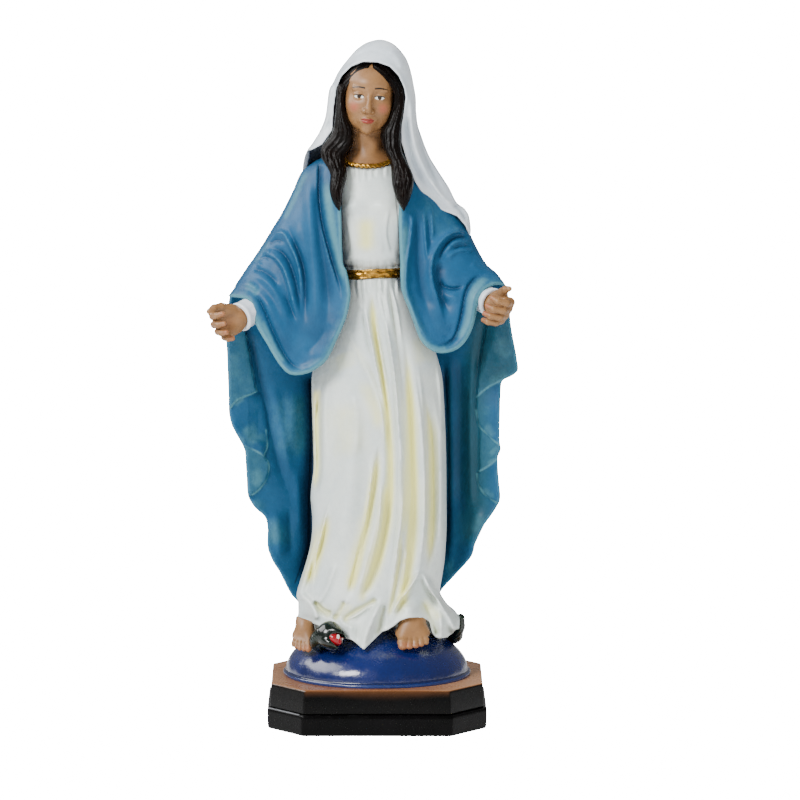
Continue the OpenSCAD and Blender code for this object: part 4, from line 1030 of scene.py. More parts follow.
    for pts, w, a in (([(500, 330), (503, 348), (508, 366)], 13, 0.42), ([(484, 388), (497, 379), (514, 370)], 7, 0.5), ([(484, 420), (491, 433), (497, 440)], 6, 0.42), ([(490, 448), (494, 452), (497, 454)], 9, 0.5),
                      ([(484, 466), (492, 461), (498, 456)], 3, 0.5), ([(482, 484), (489, 494), (497, 501)], 5, 0.4), ([(482, 505), (478, 525), (474, 540)], 8, 0.42), ([(452, 550), (450, 575), (460, 560)], 12, 0.36), ([(486, 400), (490, 420)], 12, 0.25)):
        stroke(pale, pts, w, a, "ridge", (0.35, 0.35), "max")
    for pts, w, a in (([(490, 340), (496, 368)], 12, 0.6), ([(483, 440), (485, 464)], 9, 0.7), ([(469, 345), (468, 420), (468, 500), (472, 540)], 5, 0.8), ([(449, 352), (449, 440), (450, 520)], 4, 0.5)):
        stroke(teal, pts, w, a, "ridge", (0.2, 0.2), "max")
    top = [(312, 172), (322, 160), (340, 152), (400, 152), (415, 160), (434, 176)]
    outline = LEFT_EDGE + [(310, 612), (340, 618), (380, 620), (420, 616), (432, 604)] + RIGHT_EDGE[::-1] + [(494, 276), (478, 262), (462, 236), (448, 200)] + top[::-1] + [(299, 184), (289, 206), (278, 228), (260, 258), (246, 276)]
    d0 = region(outline, 2)
    rim = dist_map(LEFT_EDGE, 20)
    rim = np.minimum(rim, dist_map(RIGHT_EDGE, 20))
    pale = np.maximum(pale, 0.5 * np.exp(-(rim / 0.9) ** 2))
    line = np.maximum(line, 0.8 * np.maximum(0, 1 - dist_map([(309.5, 379), (310, 400), (311, 440), (310.5, 470), (308, 495), (310.5, 508), (310, 535), (303, 560), (295, 583)]) / 0.8))
    front_gap = blur(np.minimum(D, 0), 1.0)

    def field(X, Y, Z):
        U, Vv = front(X, Y, Z)
        mid = back_y(X, Z)
        d = sample(D, U, Vv)
        yf = mid - 2.4 - d
        # long folds down the back, fanning out from the shoulders
        xl, xr = look(BACK, 1, Z), look(BACK, 2, Z)
        t = (X - (xl + xr) / 2) / np.maximum((xr - xl) / 2, 1)
        low = np.clip((178 - Z) / 100, 0, 1)
        ph = 15.5 * t + 0.9 * np.sin(Z * 0.021 + 2 * t)
        r = np.cos(ph)
        r = np.sign(r) * np.power(np.abs(r), 0.75)
        e = np.clip((1.02 - np.abs(t)) / 0.2, 0, 1)
        calm = np.clip((160 - Z) / 25, 0.15, 1) * np.clip((Z - 33) / 12, 0.3, 1)
        bk = (0.45 + 1.75 * low) * r * (0.85 + 0.15 * np.cos(3.1 * t + 1)) * e * calm
        bk = bk + 1.2 * low * np.exp(-((t + 0.28 - 0.1 * low) / 0.14) ** 2) - 1.2 * low * np.exp(-((t - 0.35) / 0.1) ** 2)
        yb = smax(mid + bk + 0.5 * calm, yf + 0.9, 1.6)
        f = smax(yf - Y, Y - yb, 0.5) * 0.85
        c = sample(px(d0), U, Vv)
        f = smax(f, c, 1.3)
        return smax(f, Z - 189, 1.0)
    V, Q = biggest(*extract((-54, -6, 34), (50, 26, 192), 0.4, field))
    at, N, u, v, face = masks(V, Q, 4, 40, 1.3, dark=dark, pale=pale, teal=teal, line=line)
    rear = 1 - face
    at["dark"] = np.maximum(at["dark"], 0.75 * np.clip(-at["broad"] / 0.9, 0, 1) * rear)
    zs = V[:, 2]
    hem = np.clip((43 - zs) / 3, 0, 1) * rear
    at["pale"] = np.maximum(at["pale"], 0.7 * np.clip(at["broad"] / 0.8, 0, 1) * rear + 0.6 * hem)
    at["teal"] = np.maximum(at["teal"], 0.6 * np.clip(at["broad"] / 0.5, 0, 1) * rear)
    add("mantle_back_piece", V, Q, "mantle_back", PAINT["mantle"], at)


def sleeve(name, outline, sil, hem, depth, R, folds, box, line_pts, tints, bead):
    D, pale, teal, dark, line = zeros(), zeros(), zeros(), zeros(), zeros()
    for pts, w, h, kind, ends in folds:
        stroke(D, pts, w, h, kind, ends)
        ww = w if isinstance(w, tuple) else (w, w)
        if h < -0.8:
            stroke(dark, pts, (ww[0] * 1.2, ww[1] * 1.2), min(1.0, -h / 2.4), "ridge", ends, "max")
    d0 = region(outline, 2)
    dh = dist_map(hem, 40)
    ds = dist_map(sil, 60)
    base = surf(depth)
    k = np.clip(ds / R, 0, 1)
    H = base + R * (1 - np.sqrt(np.maximum(0, 1 - (1 - k) ** 2))) * 1.0
    D = D * np.clip(ds / 3.0, 0, 1) ** 1.5 + bead * np.exp(-((dh - 1.5) / 1.5) ** 2) * np.clip(ds / 3, 0, 1)
    H = H - D
    g = np.hypot(*np.gradient(blur(H, 0.6), 0.324 / RES))
    slope = np.sqrt(1 + np.minimum(g, 4) ** 2)
    pale = np.maximum(pale, 0.95 * np.exp(-(dh / 1.3) ** 4))
    pale = np.maximum(pale, 0.42 * np.exp(-(dh / 3.6) ** 2))
    for pts, w, a in tints:
        stroke(pale, pts, w, a, "ridge", (0.25, 0.15), "max")
        stroke(teal, pts, w * 1.5 if not isinstance(w, tuple) else (w[0] * 1.5, w[1] * 1.5), a * 0.6, "ridge", (0.25, 0.15), "max")
    if name.endswith("right"):
        stroke(dark, [(326, 292), (320, 325), (306, 352)], 30, 0.42, "ridge", (0.4, 0.3), "max")
        stroke(dark, [(266, 318), (280, 340), (296, 362)], 7, 0.4, "ridge", (0.3, 0.3), "max")
    else:
        stroke(dark, [(426, 280), (434, 308), (446, 330)], 20, 0.34, "ridge", (0.4, 0.3), "max")
    line = np.maximum(0, 1 - dist_map(line_pts) / 0.5)

    def field(X, Y, Z):
        U, Vv = front(X, Y, Z)
        h = sample(H, U, Vv)
        s = sample(slope, U, Vv)
        a = (h - Y) / s
        c = sample(px(d0), U, Vv)
        hd = sample(dh, U, Vv)
        thin = smax(smax(a, Y - h - 2.6, 0.8), c, 1.2)
        yb = back_y(X, Z) - 1.6
        deep = smax(smax(a + 0.8, Y - yb, 1.5), smax(c + 0.5, 4.2 - hd, 2.0), 1.5)
        return smin(thin, deep, 1.5)
    V, Q = biggest(*extract(box[0], box[1], 0.36, field))
    at, N, u, v, face = masks(V, Q, 4, 40, 0.8, dark=dark, pale=pale, teal=teal, line=line)
    at["pale"] = np.maximum(at["pale"], 0.35 * np.clip(at["broad"] / 1.2 - 0.25, 0, 1))
    at["teal"] = np.maximum(at["teal"], 0.35 * np.clip(at["broad"] / 0.6, 0, 1))
    inner = np.clip(N[:, 1] * 2, 0, 1)
    at["dark"] = np.maximum(at["dark"], 0.8 * inner)
    add(name + "_piece", V, Q, name, PAINT["mantle"], at)


HEM_R = [(341, 166), (340.8, 189), (341.8, 224), (343, 262), (346.5, 270), (350.3, 289), (350.3, 300), (346, 319), (336.5, 341), (327.5, 359.5), (318, 368), (308.9, 373), (295, 375.6), (285, 371.5), (275.2, 358.6),
         (267.3, 344.8), (259, 331), (254, 321), (252.4, 312), (250, 304), (246, 299.5), (238, 298), (229.5, 297.5)]
SIL_R = [(330, 156), (318, 160), (308, 165), (301, 171), (297, 178), (293, 188), (286, 203), (279, 217), (272, 228), (264, 242), (254, 257.5), (248, 266), (242, 275), (236, 284), (230, 292), (227, 297)]


def sleeve_right():
    sil = SIL_R
    outline = sil + HEM_R[::-1]
    depth = [(330, 160, -9), (301, 178, -5), (322, 200, -12.5), (338, 200, -15.5), (338, 250, -17), (340, 300, -18.5), (318, 250, -14.5), (300, 210, -10), (285, 235, -10.5), (262, 262, -10.5), (248, 280, -12.5),
             (238, 294, -14), (275, 290, -14.5), (300, 300, -15.5), (325, 345, -19.5), (297, 368, -19), (275, 345, -17.5), (258, 315, -16)]
    e = (0.2, 0.25)
    folds = [
        ([(319.5, 160), (319, 193), (322.5, 224), (330.5, 255), (337, 276), (342, 294), (343, 308)], (3.0, 4), -1.7, "right", (0.05, 0.3)),
        ([(315.5, 168), (317, 200), (320, 235), (325, 268), (328, 300), (325, 335)], (4, 8), -1.3, "valley", (0.2, 0.3)),
        ([(309, 172), (309, 210), (312, 245), (315, 280), (316, 312), (313, 340)], (5, 8), 1.5, "ridge", e),
        ([(296, 205), (296, 228), (300, 248), (304, 266)], 6, 0.7, "ridge", (0.3, 0.3)),
        ([(287, 224), (294, 241), (301, 259), (305, 278), (305.5, 300), (304.5, 326)], (2.6, 4), -1.6, "valley", (0.25, 0.3)),
        ([(281, 230), (289, 244), (296, 259), (300, 276), (301, 296)], (3, 4), 1.4, "right", (0.2, 0.35)),
        ([(267, 247), (280, 251), (289, 262), (295, 279), (299, 300), (302, 322)], (2.6, 3.4), -1.4, "valley", (0.2, 0.35)),
        ([(262, 253), (274, 257), (283, 268), (289, 285), (294, 305), (300, 326)], (3.4, 4.6), 1.5, "right", (0.15, 0.35)),
        ([(251, 270), (262, 271), (272, 278), (280, 290)], 2.4, -1.0, "valley", (0.2, 0.4)),
        ([(250, 276), (261, 278), (271, 286), (279, 300), (286, 318), (293, 338)], (3.4, 6), 1.2, "ridge", (0.2, 0.35)),
        ([(284, 292), (290, 307), (297, 323)], 2.4, -0.9, "valley", (0.3, 0.4)),
        ([(258, 290), (269, 306), (280, 328), (290, 350)], (5, 8), 1.3, "ridge", (0.3, 0.3)),
        ([(252, 292.5), (259, 300), (264, 309), (270, 324), (278, 342), (286, 357), (295, 366.5), (308, 370)], (1.8, 2.0), -1.3, "valley", (0.15, 0.25)),
        ([(266, 241), (273, 234), (282, 233), (288, 239)], 2.8, 1.5, "ridge", e),
        ([(268, 245), (277, 240), (285, 243)], 1.9, -1.1, "valley", e),
        ([(256, 256), (263, 251), (271, 253)], 2.6, 1.2, "ridge", e),
        ([(257, 261), (265, 257), (272, 260)], 1.8, -0.9, "valley", e),
        ([(249, 266), (256, 263), (262, 266)], 2.2, 0.9, "ridge", e),
        ([(240, 283), (250, 285), (258, 291)], 3.0, 0.7, "ridge", e),
        ([(336, 330), (325, 347), (311, 360)], 5, 0.6, "ridge", (0.3, 0.3)),
        ([(330, 322), (318, 342), (303, 354)], 6, -0.7, "valley", (0.3, 0.3)),
    ]
    tints = [([(253, 304), (258, 321), (266, 337), (274, 351), (284, 366)], 7, 0.55), ([(327, 166), (328, 192), (331, 218), (336, 245), (341, 268), (346, 290)], (7.5, 3.4), 0.72),
             ([(312, 164), (303, 178), (297, 192), (289, 210), (281, 224)], (5, 3), 0.55), ([(243, 283), (252, 288), (259, 296)], 6, 0.5), ([(258, 312), (267, 332), (277, 352), (287, 366)], 3.6, 0.62),
             ([(347, 308), (340, 330), (330, 350), (315, 365), (300, 370)], 6, 0.45), ([(270, 236), (262, 250), (252, 264)], 5, 0.4)]
    line_pts = [(341.8, 185), (341.8, 224), (343.4, 262), (346.9, 270), (350.8, 289), (351.0, 300), (346.8, 319), (337.2, 341), (328.2, 360), (310, 374)]
    sleeve("mantle_sleeve_right", outline, sil, HEM_R, depth, 8.5, folds, ((-52, -25, 108), (-6, 20, 190)), line_pts, tints, 0.75)


HEM_L = [(399, 168), (397, 190), (398, 205), (398.6, 224), (400, 262), (401, 289), (407.7, 307), (413.6, 323), (419.6, 339), (427.5, 348), (437.4, 353), (447.2, 353), (457, 349.5), (465, 342.5), (471.5, 331), (475.5, 318),
         (477.5, 306), (480, 296.5), (485.5, 289.5), (492, 286), (499, 285.2), (506.5, 287)]
SIL_L = [(402, 158), (414, 162), (424, 172), (436, 184), (450, 200), (461, 216), (468, 228), (474, 242), (480, 254), (487, 265), (495, 271.5), (501, 277), (507, 286)]


def sleeve_left():
    depth = [(402, 165, -8), (430, 180, -4), (420, 200, -10.5), (402, 210, -14), (404, 260, -16), (410, 300, -17.5), (425, 250, -13.5), (445, 215, -7), (462, 240, -7.5), (475, 262, -10), (490, 276, -14),
             (455, 265, -12), (445, 300, -15.5), (430, 330, -18), (445, 348, -18), (465, 310, -16.5), (500, 283, -16)]
    e = (0.2, 0.3)
    folds = [
        ([(410, 204), (411.5, 222), (409.5, 244), (406.8, 262), (405.6, 286), (410, 306), (419, 327), (432, 343)], (2.6, 3.2), 1.1, "right", (0.15, 0.2)),
        ([(416, 205), (417.5, 235), (418, 262), (422, 292), (432, 322)], (4, 6), -1.2, "valley", e),
        ([(423.5, 204), (425, 232), (427.5, 262)], 1.7, 0.9, "ridge", (0.3, 0.2)),
        ([(430.5, 204), (432.5, 226), (432, 242)], 1.6, 0.7, "ridge", (0.3, 0.3)),
        ([(427, 212), (429.5, 236), (431, 252)], 2.0, -0.7, "valley", (0.3, 0.3)),
        ([(470, 233.5), (457, 231.5), (446, 237), (438, 246.5), (432.8, 259), (432, 276), (436, 293), (441, 311), (445, 330)], (3.0, 5), 1.9, "left", (0.08, 0.3)),
        ([(469, 238), (457, 236.5), (448, 242), (441, 252), (438, 266)], 2.0, -1.2, "valley", (0.1, 0.3)),
        ([(470, 242), (458, 241.5), (450, 246.5), (444.5, 255)], 2.4, 1.0, "ridge", (0.1, 0.3)),
        ([(472, 247), (460, 246.5), (452, 251.5)], 1.8, -0.9, "valley", (0.1, 0.3)),
        ([(474, 252), (462, 250), (452, 254), (446, 262)], 2.4, 0.8, "ridge", (0.1, 0.3)),
        ([(440, 258), (439, 274), (442, 294), (450, 318)], 5.5, -1.5, "valley", e),
        ([(437, 281), (446, 287.5), (457, 288.5), (465, 283.5)], 2.4, -1.4, "valley", e),
        ([(440, 292), (449, 297), (460, 296)], 4, 0.7, "ridge", (0.3, 0.3)),
        ([(452, 322), (450, 334), (441, 340)], 5, -0.7, "valley", (0.3, 0.3)),
        ([(432, 344), (444.5, 345), (454, 338.5), (459, 325.5), (462.5, 310), (465, 296), (469.5, 285), (478, 276.8), (489, 273)], (2.0, 2.2), -1.5, "valley", (0.2, 0.2)),
        ([(430, 300), (438, 322), (445, 333)], 5, 0.5, "ridge", (0.3, 0.3)),
        ([(470, 262), (478, 268), (486, 270)], 3.6, 0.6, "ridge", (0.3, 0.3)),
    ]
    tints = [([(405, 208), (404.5, 235), (403, 262), (403.5, 290), (411, 314)], (5.6, 4.0), 0.62), ([(499, 277), (487, 280), (477, 287), (471.5, 300), (469.5, 315), (464, 331), (454, 344)], (6.5, 5.0), 0.66),
             ([(416, 330), (425, 342), (438, 349), (450, 347)], 4, 0.6), ([(444, 220), (452, 226), (460, 232)], 5, 0.3), ([(420, 190), (434, 214), (450, 236)], 20, 0.3)]
    line_pts = [(397.2, 190), (397.8, 224), (399.2, 262), (400.0, 289), (406.8, 307.4), (412.7, 323.8), (418.8, 340), (426.8, 349), (437, 354)]
    sleeve("mantle_sleeve_left", SIL_L + HEM_L[::-1], SIL_L, HEM_L, depth, 8.0, folds, ((2, -25, 112), (46, 20, 190)), line_pts, tints, 0.8)


# ---------------------------------------------------------------- veil
VEIL = fine_table([(148, -27, 30, -6, 19.5), (158, -27, 30.6, -6.5, 19.2), (162.2, -26.6, 30.6, -7, 19), (166, -26, 30.2, -7.8, 18.8), (168.0, -25.8, 29.2, -8.4, 18.6), (170.1, -25.6, 26.4, -9.0, 18.4), (175.4, -25, 23.6, -9.8, 17.8), (180.7, -24.6, 20.2, -10.2, 17), (185.9, -23.6, 17.2, -10.6, 15.8),
                   (191.2, -20.4, 15.2, -11, 14.8), (196.5, -17.2, 13.9, -11.4, 14), (201.7, -15.9, 13.3, -12, 13.6), (207, -15.2, 12.4, -12.8, 13.4), (212.3, -13.2, 11.4, -12.8, 12.4), (214.9, -11.6, 10.7, -12.2, 11.2),
                   (217.5, -9.8, 9.7, -11.0, 9.4), (220.2, -7.4, 7.8, -8.8, 7), (222.2, -4.8, 5.8, -5.6, 4.4), (223.3, -2.6, 4.0, -3.0, 2.2), (223.75, -0.6, 2.4, -0.8, 0.4)], 400)
FACE_EDGE = [(306, 153), (322.4, 144.5), (332.5, 130), (333.7, 110), (336.5, 89), (341.5, 76.5), (351, 67), (363, 62), (377.6, 62.5), (390, 67), (398.5, 76), (404, 88), (405.5, 98), (403.5, 112), (401, 127), (401, 142),
             (406, 159), (414.3, 181), (424.5, 197.6), (441, 210), (457, 216.5), (465, 226), (469, 236)]


def veil():
    D, dark, line = zeros(), zeros(), zeros()
    stroke(D, FACE_EDGE, 3.0, 0.5, "ridge", (0.02, 0.02))
    for pts, w, h, kind in (
            ([(332, 80), (329, 100), (327, 120), (318, 138)], 3, 0.6, "ridge"), ([(338, 78), (333.5, 96), (331, 118), (325, 136)], 2.2, -0.5, "valley"), ([(345, 70), (356, 56), (372, 51), (390, 54)], 4, -0.5, "valley"),
            ([(408, 84), (411, 104), (412, 126), (416, 148), (424, 168), (434, 186), (447, 203)], 3.2, 0.9, "ridge"), ([(406, 108), (407, 130), (411, 154), (419, 174), (428, 190)], 2.6, -0.8, "valley"),
            ([(414, 92), (417, 115), (419, 135), (425, 156), (434, 174), (444, 190)], 2.4, -0.6, "valley"), ([(430, 178), (442, 196), (456, 208)], 2.4, 0.6, "ridge"),
            ([(452, 204), (460, 210), (467, 222)], 2.0, -0.6, "valley"), ([(388, 48), (398, 58), (404, 72)], 4, 0.5, "ridge")):
        stroke(D, pts, w, h, kind)
        if h < -0.55:
            stroke(dark, pts, w * 1.5, 0.7, "ridge", (0.2, 0.2), "max")
    front_part = region([(298, 159)] + FACE_EDGE[:1] + FACE_EDGE[1:] + [(478, 240), (480, 200), (455, 180), (440, 150), (432, 120), (425, 80), (414, 40), (380, 24), (342, 34), (318, 70), (318, 110), (300, 145), (290, 156)], 1)
    line = np.maximum(0, 1 - dist_map(FACE_EDGE) / 0.7)

    def field(X, Y, Z):
        U, Vv = front(X, Y, Z)
        th = np.arctan2(Y, X + 1)
        s = np.clip((205 - Z) / 40, 0, 1)
        back = np.clip((Y - 1) / 5, 0, 1)
        f = tube(X, Y, Z, VEIL, 2.0)
        f = f - 1.3 * sample(D, U, Vv) * (1 - back) - back * s * (1.3 * np.cos(11 * th + 0.015 * Z + 0.6) + 0.5 * np.cos(19 * th - 0.02 * Z))
        sl = 1.0 + 0.9 * np.clip((Z - 214) / 9, 0, 1)
        f = f / sl
        shell = smax(f, -(f + 1.7), 0.5)
        c = sample(px(front_part), U, Vv)
        hem = 153.5 + 1.4 * np.cos(0.18 * X + 0.6) + 0.004 * X * X + np.clip((-X - 12) * 1.9, 0, 26) - Z
        w = np.clip((Y - 0.5) / 3.0, 0, 1)
        cut = c * (1 - w) + hem * w
        return smax(smax(shell, cut, 0.9), Z - 224, 0.4)
    V, Q = biggest(*extract((-34, -18, 145), (36, 26, 226), 0.36, field))
    at, N, u, v, face = masks(V, Q, 4, 34, 0.5, dark=dark, line=line)
    # inside of the veil in shadow colour
    c = np.column_stack([V[:, 0] + 1, V[:, 1], np.zeros(len(V))])
    inside = np.clip(-(c * N).sum(1) / np.maximum(np.linalg.norm(c, axis=1), 1) * 2 - 0.4, 0, 1)
    at["dark"] = np.maximum(at["dark"], inside)
    at["line"] = np.maximum(at["line"] * 0.6, inside * np.clip((192 - V[:, 2]) / 5, 0, 1) * 0.9)
    at["line"] = np.maximum(at["line"], 0.95 * ((u < 311) & (v > 150) & (v < 178) & (N[:, 1] < 0.3)))
    add("veil_piece", V, Q, "veil", PAINT["veil"], at)


# ---------------------------------------------------------------- head, hair
def frame_of(a, b):
    """Right-handed set of axes with the first along a and the second near b."""
    a = np.array(a, float) / np.linalg.norm(a)
    b = np.array(b, float)
    b = b - a * (a @ b)
    b /= np.linalg.norm(b)
    return a, b, np.cross(a, b)


HEAD = np.array([-2.5, -3.4, 205.6])
_t, _n = math.radians(4.5), math.radians(4)
_ez = np.array([math.sin(_t), 0, math.cos(_t)])
HEAD_AXES = (np.array([math.cos(_t), 0, -math.sin(_t)]), math.cos(_n) * np.array([0, 1, 0]) + math.sin(_n) * _ez, -math.sin(_n) * np.array([0, 1, 0]) + math.cos(_n) * _ez)


# the head is an eighth of the standing height, crown to chin, with the face laid out inside it
TALL = (224 - 29) / 8


def canon(z):
    return 12.8 - (12.8 - z) * 24.8 / TALL


def head():
    def field(X, Y, Z):
        x, y, z = turned(X, Y, Z, HEAD_AXES, HEAD)
        z = canon(z)
        m = np.abs(x)
        f = egg(x, y, z, (0, 1.5, 3.2), (8.5, 10.2, 9.6))
        f = smin(f, egg(x, y, z, (0, -2.2, -2.0), (7.7, 8.0, 9.4)), 2.4)
        f = smin(f, egg(x, y, z, (0, -2.4, 5.0), (7.2, 7.6, 4.8)), 2.0)
        f = smin(f, ball(x, y, z, (0, -7.4, -9.9), 2.1), 2.4)
        f = smin(f, egg(m, y, z, (3.6, -2.5, -7.0), (3.0, 4.6, 3.4)), 2.6)
        f = smin(f, egg(m, y, z, (4.1, -6.3, -2.6), (2.7, 2.5, 2.6)), 2.0)
        f = smin(f, rod(m, y, z, (0.9, -9.2, 2.9), (5.0, -8.0, 3.3), 0.65), 1.2)
        f = smax(f, -ball(m, y, z, (3.35, -11.4, 1.3), 2.1), 1.3)
        e = ball(m, y, z, (3.35, -7.55, 1.0), 1.9)
        f = smin(f, e, 0.15)
        f = smin(f, smax(e - 0.24, 1.45 - z - 0.05 * (m - 3.35), 0.12), 0.22)
        f = smin(f, smax(e - 0.16, z - 0.4, 0.12), 0.25)
        f = smin(f, chain(x, y, z, [(0, -9.4, 3.0), (0, -10.5, 0.4), (0, -11.7, -2.5), (0, -11.85, -3.3)], [0.62, 0.7, 0.95, 1.0], 0.6), 1.1)
        f = smin(f, ball(m, y, z, (1.25, -10.35, -3.7), 0.85), 0.7)
        f = smax(f, -ball(m, y, z, (0.62, -10.9, -4.5), 0.36), 0.25)
        f = smin(f, egg(x, y, z, (0, -8.3, -6.6), (2.9, 1.9, 2.1)), 1.4)
        f = smin(f, rod(m, y, z, (0.25, -10.25, -6.2), (1.9, -9.35, -6.5), 0.55, 0.32), 0.35)
        f = smin(f, rod(m, y, z, (0.0, -10.1, -7.35), (1.6, -9.3, -7.05), 0.62, 0.35), 0.35)
        f = smax(f, -rod(m, y, z, (0.0, -10.95, -6.78), (2.1, -9.6, -6.72), 0.2), 0.22)
        f = smax(f, -ball(x, y, z, (0, -11.5, -8.75), 1.2), 0.9)
        n = chain(X, Y, Z, [(-2.7, -0.5, 199), (-3.0, -1.6, 192), (-3.2, -1.8, 186)], [5.0, 4.9, 5.3], 1.5)
        n = smin(n, egg(X, Y, Z, (-2.7, -2.5, 181.5), (10.5, 8.6, 5.6)), 4.5)
        n = smin(n, rod(X, Y, Z, (-6.6, -3.6, 196), (-3.6, -6.2, 186.4), 1.0), 2.2)
        n = smin(n, rod(X, Y, Z, (1.6, -3.6, 196), (-2.4, -6.2, 186.4), 1.0), 2.2)
        f = smin(f, n, 1.6)
        return smax(f, 178.5 - Z, 0.4)
    V, Q = biggest(*extract((-15, -19, 176.5), (10, 13, 220.5), 0.19, field))
    at, N = relief_attrs(V, Q, 5, 40)
    x, y, z = turned(V[:, 0], V[:, 1], V[:, 2], HEAD_AXES, HEAD)
    z = canon(z)
    front_face = np.clip((-y - 5.5) / 1.5, 0, 1)
    m = np.abs(x)
    dx, dz = (m - 3.35), (z - 0.92)
    lid = 0.62 * np.sqrt(np.maximum(0, 1 - (dx / 1.62) ** 2))
    eye = np.clip((lid - np.abs(dz)) / 0.12 + 0.5, 0, 1) * front_face
    iris = np.clip((0.68 - np.hypot(x - np.sign(x) * 3.35, dz - 0.06)) / 0.12 + 0.5, 0, 1) * eye
    lash = np.clip((0.22 - np.abs(dz - lid)) / 0.12 + 0.5, 0, 1) * (np.abs(dx) < 1.75) * (dz > -0.05) * front_face
    brow_z = 3.75 + 0.5 * np.cos(np.clip((m - 3.5) / 2.6, -1, 1) * 1.4) - 0.06 * m
    brow = np.clip((0.30 - 0.05 * np.maximum(0, m - 3.5) - np.abs(z - brow_z)) / 0.14 + 0.4, 0, 1) * ((m > 1.55) & (m < 5.75)) * front_face
    half = 0.66 * np.clip((2.25 - m) / 0.9, 0, 1)
    top = -6.75 + half * (1.15 - 0.22 * np.exp(-(m / 0.4) ** 2))
    bot = -6.8 - half * 1.45
    lips = np.clip(np.minimum(top - z, z - bot) / 0.15 + 0.5, 0, 1) * front_face * (m < 2.3)
    seam = np.clip((0.16 - np.abs(z + 6.78)) / 0.12, 0, 1) * (m < 2.05) * front_face
    at["white"] = eye * (1 - iris)
    at["black"] = np.maximum(np.maximum(iris, lash * 0.95), np.maximum(brow * 0.9, seam * 0.55))
    at["lips"] = lips
    at["blush"] = 0.85 * np.exp(-(((m - 4.7) / 1.9) ** 2 + ((z + 2.6) / 2.1) ** 2)) * front_face
    neck = np.clip((195.5 - V[:, 2]) / 2.5, 0, 1) * np.clip((V[:, 2] - 189) / 4, 0, 1)
    at["dark"] = np.maximum(0.16 * np.clip(-at["broad"] / 0.35, 0, 1), np.maximum(0.30 * neck, 0.35 * np.exp(-((m - 3.35) / 2.0) ** 2 - ((z - 2.2) / 0.5) ** 2) * front_face))
    add("head_piece", V, Q, "head", PAINT["skin"], at)




def beside(z, side, inset=0.0):
    # edge of the hair beside the face, on the head's own axes: an oval as wide as 2/3 of its height, arched to a parting
    if z > 2:
        w = TALL / 3 * (1 - ((z - 2) / 8.6) ** 1.6)
    else:
        w = TALL / 3 * math.sqrt(max(0, 1 - ((z - 0.6) / (TALL / 2)) ** 2))
    if z < -6:
        w = max(w, 4.8)
    P = HEAD + side * max(0.05, w - inset) * HEAD_AXES[0] - 7 * HEAD_AXES[1] + z * HEAD_AXES[2]
    u, v = front(P[0], P[1], P[2])
    return float(u), float(v)


FACE = [beside(z, -1) for z in (10.5, 9.5, 8, 6, 4, 2, 0, -2, -4, -6, -8, -10, -14, -18)] + [beside(z, 1) for z in (-18, -14, -10, -8, -6, -4, -2, 0, 2, 4, 6, 8, 9.5)]


def hair_cap():
    open_ = region(FACE, 1)

    def field(X, Y, Z):
        U, Vv = front(X, Y, Z)
        f = egg(X, Y, Z, (-1.6, -2.0, 205.9), (11.0, 12.3, 12.9))
        side = np.where(U < 371.6, 371.6 - U, U - 371.6)
        run = sample(px(open_), U, Vv)
        wave = np.cos(run * 4.6 + 0.5 * np.sin(side * 0.35)) * np.clip((-Y - 2) / 4, 0, 1)
        part = np.exp(-((U - 371.6 - (65 - Vv) * 0.15) / 1.6) ** 2) * np.clip((-Y - 3) / 3, 0, 1)
        f = f - 0.16 * wave + 0.5 * part
        c = -run
        w = np.clip((-Y - 3.0) / 2.0, 0, 1)
        f = smax(f, np.where(w > 0, c, -5) * w - 5 * (1 - w), 0.7)
        inner = egg(X, Y, Z, (-2.2, -1.6, 207.4), (9.4, 10.6, 10.2))
        f = smax(f, -inner, 0.4)
        return smax(f, 194 - Z, 0.8)
    V, Q = biggest(*extract((-14.5, -16, 192), (11, 12, 221), 0.26, field))
    at, N, u, v, face = masks(V, Q, 4, 30, 0.8)
    add("hair_cap_piece", V, Q, "hair_cap", PAINT["hair"], at)


def lock(name, left, right, depth, box, waves):
    outline = left + right[::-1]
    d0 = region(outline, 2)
    dl, dr = dist_map(left, 40), dist_map(right, 40)
    t = dl / np.maximum(dl + dr, 0.01)
    R = 2.6
    ds = np.maximum(0, px(-d0))
    k = np.clip(ds / R, 0, 1)
    H = surf(depth) + R * (1 - np.sqrt(np.maximum(0, 1 - (1 - k) ** 2)))
    rows = GV
    ph = 2 * math.pi * waves * t + 0.9 * np.sin(rows * 0.085) + 0.5 * np.sin(rows * 0.21 + 1)
    curl = np.clip((rows - 130) / 30, 0, 1)
    groove = 0.34 * (np.abs(np.cos(ph / 2)) - 0.6) + 0.10 * np.cos(ph * 1.9 + rows * 0.05) + curl * (0.20 * np.cos(ph * 2.6 + 0.9 * np.sin(rows * 0.42)) + 0.12 * np.cos(rows * 0.62 + ph * 1.3))
    H = H - groove * np.clip(ds / 0.8, 0, 1)
    g = np.hypot(*np.gradient(blur(H, 0.5), 0.324 / RES))
    slope = np.sqrt(1 + np.minimum(g, 3) ** 2)

    def field(X, Y, Z):
        U, Vv = front(X, Y, Z)
        h, s = sample(H, U, Vv), sample(slope, U, Vv)
        return smax(smax((h - Y) / s, Y - h - 3.4, 0.8), sample(px(d0), U, Vv), 0.8)
    V, Q = biggest(*extract(box[0], box[1], 0.26, field))
    at, N, u, v, face = masks(V, Q, 4, 30, 0.8)
    add(name + "_piece", V, Q, name, PAINT["hair"], at)


